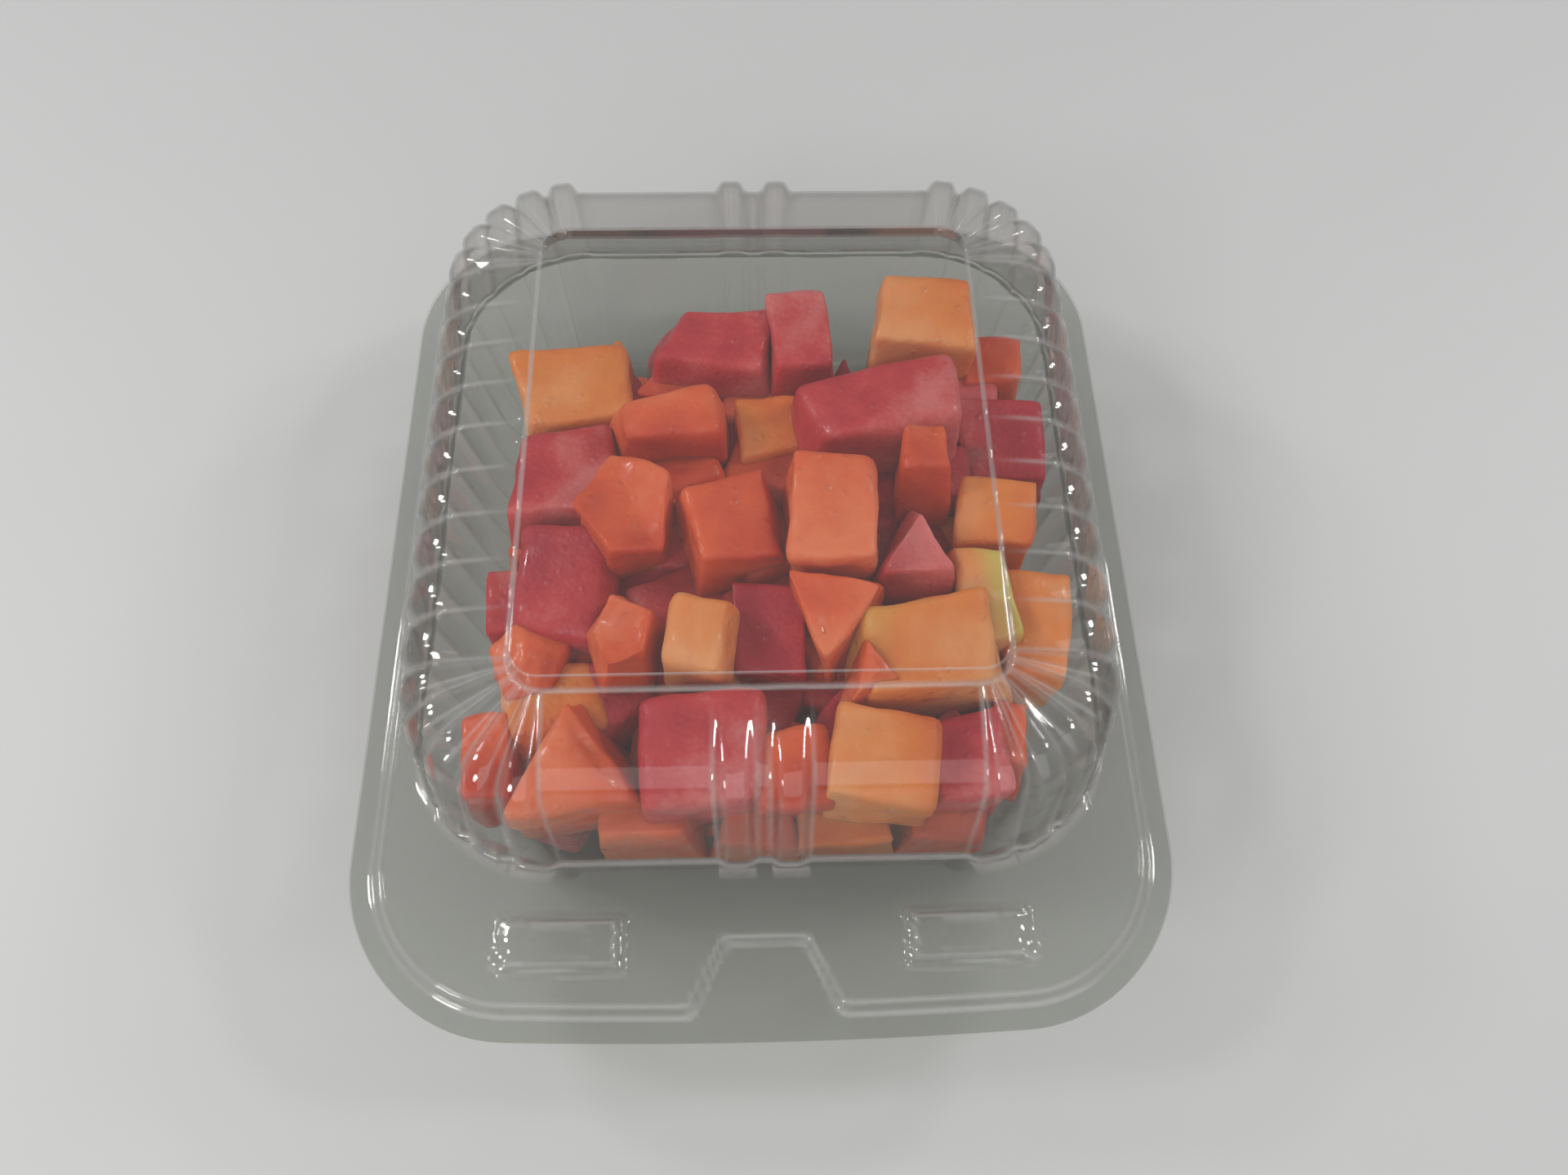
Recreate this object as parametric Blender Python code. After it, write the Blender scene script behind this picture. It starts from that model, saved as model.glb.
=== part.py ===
"""Fruit salad of melon, papaya and watermelon chunks in a shut, clear hinged clamshell.

Lengths are metres and +Z is up. The origin is at the bottom centre of the tray. +X runs to the right
and -Y is the front, where the thumb recess and the two lock buttons are. The hinge is at the back.
"""
import math
import random
from collections import namedtuple

import bmesh
import bpy
from mathutils import Euler, Matrix, Vector

MM = 0.001

# Colour, roughness and alpha
CLEAR_PLASTIC = ((0.80, 0.82, 0.80), 0.12, 0.35)
CUT_FRUIT = ((0.80, 0.22, 0.09), 0.35, 1.0)

# Pack as a whole
WIDTH = 190 * MM
DEPTH = 230 * MM
TUB_HEIGHT = 41.1 * MM
DOME_HEIGHT = 45 * MM
WALL = 0.8 * MM
GAP = 0.3 * MM
SHELL_PITCH = WALL + GAP

# Flange that runs round the lid and round the tub
FLANGE_CORNER = 37.5 * MM
FRONT_BOW = 3.4 * MM
LIP = 4.5 * MM
RISER_RUN = 3 * MM
RISER_RISE = 2.5 * MM
RISER_NEST = 0.6 * MM

# Hinge along the back edge
HINGE_RADIUS = 1.2 * MM
HINGE_LENGTH = 112 * MM
HINGE_Y = DEPTH / 2 - HINGE_RADIUS
HINGE_CLEARANCE = 0.5 * MM
HINGE_SIDES = 12

# Rounded rectangles that every ring of the dome and of the tub is drawn from
DOME_Y = 13.7 * MM
STRAIGHT_X = 46.5 * MM
STRAIGHT_Y = 54 * MM
FOOT_RADIUS = 35.7 * MM
KNEE_RADIUS = 30.6 * MM
WALL_RADIUS = 29 * MM
FLOOR_RADIUS = 25.5 * MM
FLOOR_CURVE = 4 * MM
SHOULDER_Z = 39.4 * MM
PANEL_RADIUS = 6 * MM

# Flutes
SIDE_FLUTES = 9
CORNER_FLUTES = 5
CREST_START = 0.28
CREST_END = 0.72
FRONT_FLUTE_AT = 6 * MM
FRONT_FLUTE_WIDTH = 9 * MM
FLUTE_DEPTH = 3 * MM
FOOT_FLUTE = 1.5 * MM

# Sections of the dome and of the tub, from the flange to the middle. Each row gives the ring's radius
# and height, over the flange in the dome and over the table in the tub, and how far the crest of a
# flute stands out and up from it.
DOME_SECTION = [
    (FOOT_RADIUS, RISER_RISE, FOOT_FLUTE, 0),
    (KNEE_RADIUS, 29 * MM, FLUTE_DEPTH, 0),
    (KNEE_RADIUS - 2 * MM, 34 * MM, 2.8 * MM, 0.6 * MM),
    (KNEE_RADIUS - 6 * MM, 36.8 * MM, 1.5 * MM, 1.4 * MM),
    (PANEL_RADIUS + 1.6 * MM, SHOULDER_Z, 0, 0.5 * MM),
    (PANEL_RADIUS + 0.6 * MM, DOME_HEIGHT - 0.7 * MM, 0, 0),
    (PANEL_RADIUS - 0.4 * MM, DOME_HEIGHT, 0, 0),
]
TUB_SECTION = [
    (FOOT_RADIUS - SHELL_PITCH, TUB_HEIGHT - SHELL_PITCH + RISER_RISE, FOOT_FLUTE, 0),
    (WALL_RADIUS, WALL + FLOOR_CURVE, 2 * MM, 0),
    (FLOOR_RADIUS, WALL, 0.8 * MM, 0),
]

# Thumb recess and lock buttons in the front of the flange
NOTCH_FRONT = 36 * MM
NOTCH_BACK = 19 * MM
NOTCH_BACK_Y = -DEPTH / 2 + 21.4 * MM
NOTCH_FLOOR = 0.2 * MM
NOTCH_CLEARANCE = 0.5 * MM
BUTTON_X = 45.5 * MM
BUTTON_Y = -DEPTH / 2 + 21.1 * MM
BUTTON_SIZE = (25 * MM, 9.5 * MM)
BUTTON_RISE = 1.8 * MM
BUTTON_DRAFT = 0.7 * MM

# Fruit
FRUIT_CLEARANCE = 1 * MM
ROOM_CORNER_SIDES = 2
FLOOR_Z = WALL + GAP
PIECE = 24 * MM
CORE_TOP = 4 * MM
CORE_TAPER = 0.9
SEED = 32

Station = namedtuple("Station", "along_x along_y normal_x normal_y flute")
Core = namedtuple("Core", "half_x half_y centre_y bow")
Ring = namedtuple("Ring", "core radius z flute_out flute_up")
Chunk = namedtuple("Chunk", "x y top width depth height sides turn lean taper shift_x shift_y")

DOME = Core(STRAIGHT_X, STRAIGHT_Y, DOME_Y, 0)


def clear_scene():
    """Remove whatever the scene holds."""
    for item in list(bpy.data.objects):
        bpy.data.objects.remove(item, do_unlink=True)


def make_material(name, colour, roughness, alpha):
    """Return a plain Principled material."""
    material = bpy.data.materials.new(name)
    material.use_nodes = True
    shader = material.node_tree.nodes["Principled BSDF"]
    shader.inputs["Base Color"].default_value = (*colour, 1.0)
    shader.inputs["Roughness"].default_value = roughness
    shader.inputs["Metallic"].default_value = 0.0
    shader.inputs["Alpha"].default_value = alpha
    return material


def skin(name, rings, material=None):
    """Return a closed solid skinned over a stack of rings, which run anticlockwise seen from above.

    Without a material the solid is only a cutter or a former.
    """
    bm = bmesh.new()
    loops = [[bm.verts.new(point) for point in ring] for ring in rings]
    bm.faces.new(loops[0][::-1])
    bm.faces.new(loops[-1])
    for low, high in zip(loops, loops[1:]):
        for index in range(len(low)):
            after = (index + 1) % len(low)
            bm.faces.new((low[index], low[after], high[after], high[index]))
    mesh = bpy.data.meshes.new(name)
    bm.to_mesh(mesh)
    bm.free()
    thing = bpy.data.objects.new(name, mesh)
    bpy.context.scene.collection.objects.link(thing)
    if material:
        mesh.materials.append(material)
    else:
        thing.hide_render = True
        thing.display_type = "WIRE"
    return thing


def prism(name, lower, upper, z_low, z_high, material=None):
    """Return a block between two outlines with as many corners."""
    return skin(name, [[(x, y, z_low) for x, y in lower], [(x, y, z_high) for x, y in upper]], material)


def apply_modifiers(thing):
    """Replace an object's mesh by its evaluated one."""
    evaluated = thing.evaluated_get(bpy.context.evaluated_depsgraph_get())
    mesh = bpy.data.meshes.new_from_object(evaluated)
    thing.modifiers.clear()
    thing.data = mesh


def combine(thing, other, operation):
    """Add a block to a solid, or cut with it, and drop the block."""
    step = thing.modifiers.new(operation.lower(), "BOOLEAN")
    step.operation = operation
    step.object = other
    step.solver = "EXACT"
    apply_modifiers(thing)
    bpy.data.objects.remove(other, do_unlink=True)


def flute_profile(count):
    """Yield (share of the run, flute height 0 to 1) for a row of flutes, without its last point."""
    for index in range(count):
        yield index / count, 0.0
        yield (index + CREST_START) / count, 1.0
        yield (index + CREST_END) / count, 1.0


def front_profile():
    """Yield (share of the run, flute height) for a flat end wall with two flutes at its middle."""
    half = FRONT_FLUTE_WIDTH / 2
    crest = half - CREST_START * FRONT_FLUTE_WIDTH
    yield 0.0, 0.0
    yield 0.25, 0.0
    for centre in (-FRONT_FLUTE_AT, FRONT_FLUTE_AT):
        for offset, height in ((-half, 0.0), (-crest, 1.0), (crest, 1.0), (half, 0.0)):
            yield 0.5 + (centre + offset) / (2 * STRAIGHT_X), height
    yield 0.75, 0.0


def make_stations():
    """Return the points of a unit rounded rectangle, anticlockwise from the right front corner.

    A station gives a place on the straight-sided core (-1 to 1 each way), the direction in which the
    ring's radius is added to it, and how far up a flute's flank it lies.
    """
    stations = []
    for quarter in range(4):
        side = Matrix.Rotation(quarter * math.pi / 2, 2)
        profile = flute_profile(SIDE_FLUTES) if quarter % 2 == 0 else front_profile()
        normal = side @ Vector((1, 0))
        for share, flute in profile:
            along = side @ Vector((1, 2 * share - 1))
            stations.append(Station(along.x, along.y, normal.x, normal.y, flute))
        corner = side @ Vector((1, 1))
        for share, flute in flute_profile(CORNER_FLUTES):
            angle = (quarter + share) * math.pi / 2
            stations.append(Station(corner.x, corner.y, math.cos(angle), math.sin(angle), flute))
    return stations


def ring_points(stations, ring):
    """Return the points of one ring round its core."""
    points = []
    for spot in stations:
        reach = ring.radius + ring.flute_out * spot.flute
        x = spot.along_x * ring.core.half_x + spot.normal_x * reach
        y = spot.along_y * ring.core.half_y + spot.normal_y * reach + ring.core.centre_y
        bow = ring.core.bow * max(0.0, -spot.normal_y) * (1 - (2 * x / WIDTH) ** 2)
        points.append(Vector((x, y - bow, ring.z + ring.flute_up * spot.flute)))
    return points


def heading(before, after):
    """Return the direction, inwards and up, in which a profile runs from one ring to the next."""
    if before.core is not after.core:
        return Vector((1, 0))
    return Vector((before.radius - after.radius, after.z - before.z)).normalized()


def far_side(profile):
    """Return the rings of a shell's other face, one wall thickness below and behind a profile."""
    level = Vector((1, 0))
    rings = []
    for index, ring in enumerate(profile):
        ahead = heading(ring, profile[index + 1]) if index + 1 < len(profile) else level
        behind = heading(profile[index - 1], ring) if index else ahead
        normals = [Vector((-way.y, way.x)) for way in (behind, ahead)]
        shift = (normals[0] + normals[1]) * (WALL / (1 + normals[0].dot(normals[1])))
        rings.append(ring._replace(radius=ring.radius + shift.x, z=ring.z - shift.y))
    return rings


def shell(name, stations, profile, material):
    """Build a thin shell with a profile on its upper side."""
    rings = far_side(profile)[::-1] + profile
    return skin(name, [ring_points(stations, ring) for ring in rings], material)


def notch_outline(grow, front_y):
    """Return the trapezoid of the thumb recess, grown sideways and backwards, from a front line on."""
    lip_y = -DEPTH / 2 + LIP
    narrowing = (NOTCH_FRONT - NOTCH_BACK) / 2 / (NOTCH_BACK_Y - lip_y)
    back_y = NOTCH_BACK_Y + grow
    front = NOTCH_FRONT / 2 + grow - narrowing * (front_y - lip_y)
    back = NOTCH_FRONT / 2 + grow - narrowing * (back_y - lip_y)
    return [(-front, front_y), (front, front_y), (back, back_y), (-back, back_y)]


def rectangle(centre_x, centre_y, half_x, half_y):
    """Return a rectangle's corners."""
    signs = ((-1, -1), (1, -1), (1, 1), (-1, 1))
    return [(centre_x + right * half_x, centre_y + back * half_y) for right, back in signs]


def button_outline(centre_x, grow):
    """Return the rectangle of one lock button, grown all round."""
    return rectangle(centre_x, BUTTON_Y, BUTTON_SIZE[0] / 2 + grow, BUTTON_SIZE[1] / 2 + grow)


def add_thumb_recess(thing, base_z, riser_inset, grow):
    """Sink the thumb recess into a flange, with a wall of its own under it."""
    floor_z = base_z + NOTCH_FLOOR
    plateau_z = base_z + RISER_RISE
    front = -DEPTH / 2 + riser_inset
    low = notch_outline(grow + WALL, front)
    high = notch_outline(grow + WALL, front + RISER_RUN)
    combine(thing, prism("recess_tray", low, high, floor_z - WALL, plateau_z - WALL / 2), "UNION")
    low = notch_outline(grow, front)
    high = notch_outline(grow + WALL / 2, front)
    combine(thing, prism("recess_cut", low, high, floor_z, plateau_z + WALL), "DIFFERENCE")


def add_lock_button(thing, centre_x, base_z, shrink):
    """Raise one hollow lock button from a flange."""
    plateau_z = base_z + RISER_RISE
    top_z = plateau_z + BUTTON_RISE
    foot = button_outline(centre_x, BUTTON_DRAFT - shrink)
    top = button_outline(centre_x, -shrink)
    combine(thing, prism("button_block", foot, top, plateau_z - WALL / 2, top_z), "UNION")
    foot = button_outline(centre_x, BUTTON_DRAFT - shrink - WALL)
    top = button_outline(centre_x, -shrink - WALL)
    combine(thing, prism("button_hollow", foot, top, plateau_z - 2 * WALL, top_z - WALL), "DIFFERENCE")


def flange_profile(base_z, riser_inset):
    """Return the rings of a flange: a flat lip, a riser and the edge of the plateau behind it."""
    front = -DEPTH / 2 + FRONT_BOW
    half_y = (HINGE_Y - front) / 2 - FLANGE_CORNER
    core = Core(WIDTH / 2 - FLANGE_CORNER, half_y, (front + HINGE_Y) / 2, FRONT_BOW)
    return [
        Ring(core, FLANGE_CORNER, base_z, 0, 0),
        Ring(core, FLANGE_CORNER - riser_inset, base_z, 0, 0),
        Ring(core, FLANGE_CORNER - riser_inset - RISER_RUN, base_z + RISER_RISE, 0, 0),
    ]


def build_lid(stations):
    """Build the domed lid: flange, riser, fluted wall, rounded knee, shoulder and raised top panel."""
    base = TUB_HEIGHT
    dome = [Ring(DOME, radius, base + z, out, up) for radius, z, out, up in DOME_SECTION]
    profile = flange_profile(base, LIP) + dome
    lid = shell("lid", stations, profile, make_material("lid_plastic", *CLEAR_PLASTIC))
    add_thumb_recess(lid, base, LIP, 0)
    for side in (-1, 1):
        add_lock_button(lid, side * BUTTON_X, base, 0)
    reach = HINGE_RADIUS + HINGE_CLEARANCE
    outline = rectangle(0, HINGE_Y, HINGE_LENGTH / 2 + HINGE_CLEARANCE, reach)
    combine(lid, prism("hinge_room", outline, outline, base - 2 * WALL, base + 2 * WALL), "DIFFERENCE")
    return lid


def build_tub(stations):
    """Build the tub: a flange nested under the lid's, and fluted walls that draw in to a flat floor."""
    base = TUB_HEIGHT - SHELL_PITCH
    riser_inset = LIP + RISER_NEST
    profile = flange_profile(base, riser_inset) + [Ring(DOME, *row) for row in TUB_SECTION]
    tub = shell("tub", stations, profile, make_material("tub_plastic", *CLEAR_PLASTIC))
    add_thumb_recess(tub, base, riser_inset, WALL + NOTCH_CLEARANCE)
    for side in (-1, 1):
        add_lock_button(tub, side * BUTTON_X, base, WALL + GAP)
    bead_z = TUB_HEIGHT - WALL - GAP / 2
    ends = [[(x, HINGE_Y + HINGE_RADIUS * math.cos(turn), bead_z + HINGE_RADIUS * math.sin(turn))
             for turn in (step * math.tau / HINGE_SIDES for step in range(HINGE_SIDES))]
            for x in (-HINGE_LENGTH / 2, HINGE_LENGTH / 2)]
    combine(tub, skin("hinge_bead", ends), "UNION")
    return tub


def unit_outline(sides):
    """Return the corners of a regular outline that just fills a unit square, one corner to the back."""
    if sides == 4:
        return [(-0.5, -0.5), (0.5, -0.5), (0.5, 0.5), (-0.5, 0.5)]
    turns = [math.pi / 2 + step * math.tau / sides for step in range(sides)]
    xs = [math.cos(turn) for turn in turns]
    ys = [math.sin(turn) for turn in turns]
    centre_y = (max(ys) + min(ys)) / 2
    return [(x / (max(xs) - min(xs)), (y - centre_y) / (max(ys) - min(ys))) for x, y in zip(xs, ys)]


def chunk_object(name, chunk, collection):
    """Add one cut of fruit: a block, wedge or five-sided lump whose upper face may be smaller."""
    outline = unit_outline(chunk.sides)
    upper = [(x * chunk.taper + chunk.shift_x, y * chunk.taper + chunk.shift_y) for x, y in outline]
    piece = prism(name, outline, upper, -0.5, 0.5)
    size = Matrix.Diagonal((chunk.width * MM, chunk.depth * MM, chunk.height * MM, 1))
    turn = Euler((math.radians(chunk.lean), 0, math.radians(chunk.turn))).to_matrix().to_4x4()
    centre_z = TUB_HEIGHT + (chunk.top - chunk.height / 2) * MM
    piece.data.transform(Matrix.Translation((chunk.x * MM, chunk.y * MM, centre_z)) @ turn @ size)
    bpy.context.scene.collection.objects.unlink(piece)
    collection.objects.link(piece)


# The pieces that show from above. Places and sizes are millimetres and tops are heights over the
# flange. Turn and lean are degrees. Taper is the size of the upper face and the shifts are how far it
# lies off centre, as shares of the piece.
TOP_PIECES = [
    # Along the back
    Chunk(-54, 53, 8, 28, 26, 26, 4, -8, 5, 0.90, 0, 0),
    Chunk(-13, 63, 16, 36, 26, 28, 4, -6, 0, 0.72, 0.10, 0),
    Chunk(12, 64, 18, 20, 25, 30, 4, 2, 4, 0.82, 0, 0),
    Chunk(46, 67, 22, 29, 24, 32, 4, -2, 4, 0.92, 0, 0),
    Chunk(66, 61, 5, 18, 16, 20, 4, 0, -5, 0.90, 0, 0),
    # Second row
    Chunk(-22, 35, 22, 33, 18, 22, 4, 5, 8, 0.80, 0, 0),
    Chunk(4, 38, 12, 20, 20, 24, 4, 10, 0, 0.85, 0, 0),
    Chunk(29, 36, 26, 48, 24, 26, 4, 9, 6, 0.80, 0.03, 0),
    Chunk(43, 19, 24, 14, 17, 28, 4, 0, -6, 0.82, 0, 0),
    Chunk(66, 37, 6, 24, 28, 24, 4, 0, 4, 0.90, 0, 0),
    # Middle
    Chunk(-51, 22, 14, 28, 26, 26, 4, 6, -6, 0.82, 0, 0),
    Chunk(-32, 8, 26, 25, 28, 26, 5, 12, 8, 0.92, 0, 0),
    Chunk(-5, 2, 27, 26, 30, 26, 4, 20, 10, 0.62, -0.10, 0),
    Chunk(18, 4, 31, 22, 28, 28, 4, -2, 9, 0.92, 0, 0),
    Chunk(39, -2, 22, 24, 28, 26, 3, -6, 8, 0.55, 0, 0),
    Chunk(61, 10, 12, 21, 19, 24, 4, -4, 6, 0.92, 0, 0),
    # In front of the middle
    Chunk(-49, -6, 15, 27, 28, 26, 4, -12, 8, 0.75, 0, 0),
    Chunk(-62, -10, 6, 16, 22, 22, 4, 8, 0, 0.85, 0, 0),
    Chunk(-33, -25, 23, 24, 25, 26, 5, 4, 12, 0.62, 0, 0.05),
    Chunk(-14, -26, 25, 20, 22, 24, 4, -10, 12, 0.80, 0, 0),
    Chunk(2, -22, 16, 18, 24, 24, 4, 0, 6, 0.90, 0, 0),
    Chunk(17, -24, 26, 25, 28, 26, 3, 172, -10, 0.85, 0, 0),
    Chunk(54, -14, 14, 13, 24, 24, 4, 6, 4, 0.90, 0, 0),
    Chunk(68, -19, 10, 18, 29, 28, 4, -4, 4, 0.88, 0, 0),
    # Front row behind the panel's edge
    Chunk(-57, -26, 8, 24, 24, 24, 5, 10, 6, 0.80, 0, 0),
    Chunk(24, -38, 26, 23, 24, 26, 3, 4, 14, 0.50, 0, 0.05),
    Chunk(41, -31, 24, 34, 28, 26, 5, -18, 8, 0.90, 0, 0),
    # Against the front wall
    Chunk(-65, -50, 4, 13, 22, 22, 4, 4, 0, 0.85, 0, 0),
    Chunk(-42, -53, 18, 38, 30, 28, 3, 4, 14, 0.72, 0, 0.05),
    Chunk(-14, -54, 18, 28, 25, 28, 5, 0, 10, 0.85, 0, 0),
    Chunk(7, -56, 14, 21, 21, 24, 4, 4, 8, 0.88, 0, 0),
    Chunk(28, -56, 20, 25, 24, 28, 4, -6, 6, 0.86, -0.05, 0),
    Chunk(48, -53, 10, 20, 22, 26, 4, 4, 6, 0.88, 0, 0),
    Chunk(59, -48, 8, 10, 19, 24, 4, -4, 0, 0.85, 0, 0),
    Chunk(-28, -65, 3, 28, 14, 26, 4, 0, 0, 0.65, 0, 0),
    Chunk(-2, -65, -4, 22, 14, 24, 4, -4, 6, 0.85, 0, 0),
    Chunk(20, -65, -3, 24, 14, 24, 4, 2, 4, 0.90, 0, 0),
    Chunk(44, -64, -6, 22, 14, 22, 4, -2, 0, 0.90, 0, 0),
]

# Outline of the heap on the floor and how far its second layer draws in
HEAP_LEFT = -64
HEAP_RIGHT = 66
HEAP_FRONT = -60
HEAP_BACK = 72
LAYER_STEP = 21
LAYER_TOPS = (-18, 2)


def edge_pieces(rng):
    """Return the lower pieces that lean on each other round the heap, on the floor and above it."""
    pieces = []
    size = PIECE / MM
    for layer, top in enumerate(LAYER_TOPS):
        left, right = HEAP_LEFT + size / 2, HEAP_RIGHT - size / 2
        front, back = HEAP_FRONT + size / 2, HEAP_BACK - size / 2
        corners = [(left, front), (right, front), (right, back), (left, back)]
        for index, start in enumerate(corners):
            end = corners[(index + 1) % 4]
            run = math.dist(start, end)
            steps = round(run / LAYER_STEP)
            for step in range(steps):
                share = (step + 0.5 * (layer % 2)) / steps
                x = start[0] + (end[0] - start[0]) * share + rng.uniform(-2, 2)
                y = start[1] + (end[1] - start[1]) * share + rng.uniform(-2, 2)
                width, depth = rng.uniform(21, 28), rng.uniform(20, 26)
                sides = rng.choice((3, 4, 4, 4, 5))
                pieces.append(Chunk(x, y, top + rng.uniform(-3, 3), width, depth, size, sides,
                                    rng.uniform(-28, 28), rng.uniform(-9, 9), rng.uniform(0.7, 1), 0, 0))
    return pieces


def make_room():
    """Return the space inside the pack that the fruit may fill, as a cutter without flutes."""
    levels = [
        Ring(DOME, FLOOR_RADIUS - FRUIT_CLEARANCE, FLOOR_Z, 0, 0),
        Ring(DOME, WALL_RADIUS - FRUIT_CLEARANCE, FLOOR_Z + FLOOR_CURVE, 0, 0),
        Ring(DOME, FOOT_RADIUS - 2 * SHELL_PITCH, TUB_HEIGHT, 0, 0),
        Ring(DOME, KNEE_RADIUS - 2 * FRUIT_CLEARANCE, TUB_HEIGHT + SHOULDER_Z - 2 * FLUTE_DEPTH, 0, 0),
    ]
    corners = []
    for quarter in range(4):
        core = Matrix.Rotation(quarter * math.pi / 2, 2) @ Vector((1, 1))
        for step in range(ROOM_CORNER_SIDES + 1):
            angle = (quarter + step / ROOM_CORNER_SIDES) * math.pi / 2
            corners.append(Station(core.x, core.y, math.cos(angle), math.sin(angle), 0))
    return skin("room", [ring_points(corners, ring) for ring in levels])


def keep_outer_skin(thing):
    """Drop every closed skin of a solid but the largest, so that hollows sealed inside are filled."""
    bm = bmesh.new()
    bm.from_mesh(thing.data)
    skins = []
    unseen = set(bm.verts)
    while unseen:
        reached = [unseen.pop()]
        for vert in reached:
            for edge in vert.link_edges:
                other = edge.other_vert(vert)
                if other in unseen:
                    unseen.remove(other)
                    reached.append(other)
        skins.append(reached)
    skins.sort(key=len)
    for scrap in skins[:-1]:
        bmesh.ops.delete(bm, geom=scrap, context="VERTS")
    bm.to_mesh(thing.data)
    bm.free()


def build_fruit():
    """Build the heap of fruit as one solid: a core with the pieces that show fused on."""
    material = make_material("fruit", *CUT_FRUIT)
    left, right = HEAP_LEFT * MM + PIECE, HEAP_RIGHT * MM - PIECE
    front, back = HEAP_FRONT * MM + PIECE, HEAP_BACK * MM - PIECE
    lower = [(left, front), (right, front), (right, back), (left, back)]
    upper = [(x * CORE_TAPER, y * CORE_TAPER) for x, y in lower]
    heap = prism("fruit_heap", lower, upper, FLOOR_Z, TUB_HEIGHT + CORE_TOP, material)
    pieces = bpy.data.collections.new("fruit_pieces")
    bpy.context.scene.collection.children.link(pieces)
    for index, chunk in enumerate(TOP_PIECES + edge_pieces(random.Random(SEED))):
        chunk_object(f"piece_{index:02d}", chunk, pieces)
    join = heap.modifiers.new("pieces", "BOOLEAN")
    join.operation = "UNION"
    join.operand_type = "COLLECTION"
    join.collection = pieces
    join.solver = "EXACT"
    apply_modifiers(heap)
    for piece in list(pieces.objects):
        bpy.data.objects.remove(piece, do_unlink=True)
    bpy.data.collections.remove(pieces)
    combine(heap, make_room(), "INTERSECT")
    keep_outer_skin(heap)
    return heap


def main():
    """Build the three sub-parts."""
    clear_scene()
    stations = make_stations()
    build_lid(stations)
    build_tub(stations)
    build_fruit()


main()
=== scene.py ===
"""Looks of a fruit salad of melon, papaya and watermelon in a shut, clear hinged clamshell.

Lengths are metres and +Z is up. The origin is at the bottom centre of the pack and -Y is its front.
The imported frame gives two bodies: the tray, which is the tub with its fruit, and the lid.
"""

import logging
import math
import random
from dataclasses import astuple, dataclass, field
from enum import Enum
from typing import Callable, Iterator, Sequence

import bmesh
import bpy
import numpy as np
from mathutils import Euler, Matrix, Vector


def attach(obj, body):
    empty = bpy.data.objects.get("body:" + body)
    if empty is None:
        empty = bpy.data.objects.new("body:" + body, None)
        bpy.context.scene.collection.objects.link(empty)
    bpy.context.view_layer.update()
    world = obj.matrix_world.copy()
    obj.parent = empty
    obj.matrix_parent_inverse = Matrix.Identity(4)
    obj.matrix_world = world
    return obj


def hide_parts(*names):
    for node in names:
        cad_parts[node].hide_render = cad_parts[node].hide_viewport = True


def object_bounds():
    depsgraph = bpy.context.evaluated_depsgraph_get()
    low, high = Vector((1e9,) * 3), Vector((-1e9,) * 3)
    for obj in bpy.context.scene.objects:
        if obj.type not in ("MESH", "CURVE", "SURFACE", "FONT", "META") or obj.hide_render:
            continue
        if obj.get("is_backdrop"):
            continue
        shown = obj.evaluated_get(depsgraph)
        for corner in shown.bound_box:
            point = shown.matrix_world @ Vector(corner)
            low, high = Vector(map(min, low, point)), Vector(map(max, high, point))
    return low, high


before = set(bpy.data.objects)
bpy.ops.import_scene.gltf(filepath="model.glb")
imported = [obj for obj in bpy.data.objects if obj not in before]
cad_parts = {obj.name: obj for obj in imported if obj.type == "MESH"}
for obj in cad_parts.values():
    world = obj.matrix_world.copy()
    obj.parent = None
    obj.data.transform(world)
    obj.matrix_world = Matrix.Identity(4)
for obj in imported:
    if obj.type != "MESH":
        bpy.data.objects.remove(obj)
CAD_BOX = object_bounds()

LOG = logging.getLogger("fruit_salad")
MM = 0.001
FLOOR_GAP = 0.3 * MM

Colour = tuple[float, float, float]


class Body(Enum):
    """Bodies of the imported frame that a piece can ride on."""

    TRAY = "tray"
    LID = "lid"


class Kind(Enum):
    """Kinds of fruit in the salad. The value is also the name of its material."""

    WATERMELON = "watermelon"
    PAPAYA = "papaya"
    MELON = "melon"


# Shader maths


class Value:
    """A number in a shader, on which Python's operators add Math nodes."""

    def __init__(self, graph: "Graph", socket: bpy.types.NodeSocket) -> None:
        """Wrap a socket of a graph."""
        self.graph = graph
        self.socket = socket

    def _math(self, operation: str, *terms: "Value | float") -> "Value":
        """Add one Math node.

        Args:
            operation: The node's operation.
            terms: Its values or links, in order.

        Returns:
            The node's result.
        """
        node = self.graph.node("ShaderNodeMath", {"operation": operation}, dict(enumerate(terms)))
        return Value(self.graph, node.outputs[0])

    def __add__(self, other: "Value | float") -> "Value":
        """Return the sum."""
        return self._math("ADD", self, other)

    __radd__ = __add__

    def __sub__(self, other: "Value | float") -> "Value":
        """Return the difference."""
        return self._math("SUBTRACT", self, other)

    def __rsub__(self, other: float) -> "Value":
        """Return a number less this value."""
        return self._math("SUBTRACT", other, self)

    def __mul__(self, other: "Value | float") -> "Value":
        """Return the product."""
        return self._math("MULTIPLY", self, other)

    __rmul__ = __mul__

    def __pow__(self, other: float) -> "Value":
        """Return this value raised to a power."""
        return self._math("POWER", self, other)

    def ramp(self, start: float, end: float) -> "Value":
        """Return a soft step from 0 to 1.

        Args:
            start: Where it leaves 0.
            end: Where it reaches 1.

        Returns:
            The step's value.
        """
        node = self.graph.node("ShaderNodeMapRange", {"interpolation_type": "SMOOTHSTEP"},
                               {0: self, 1: start, 2: end})
        return Value(self.graph, node.outputs[0])


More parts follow.
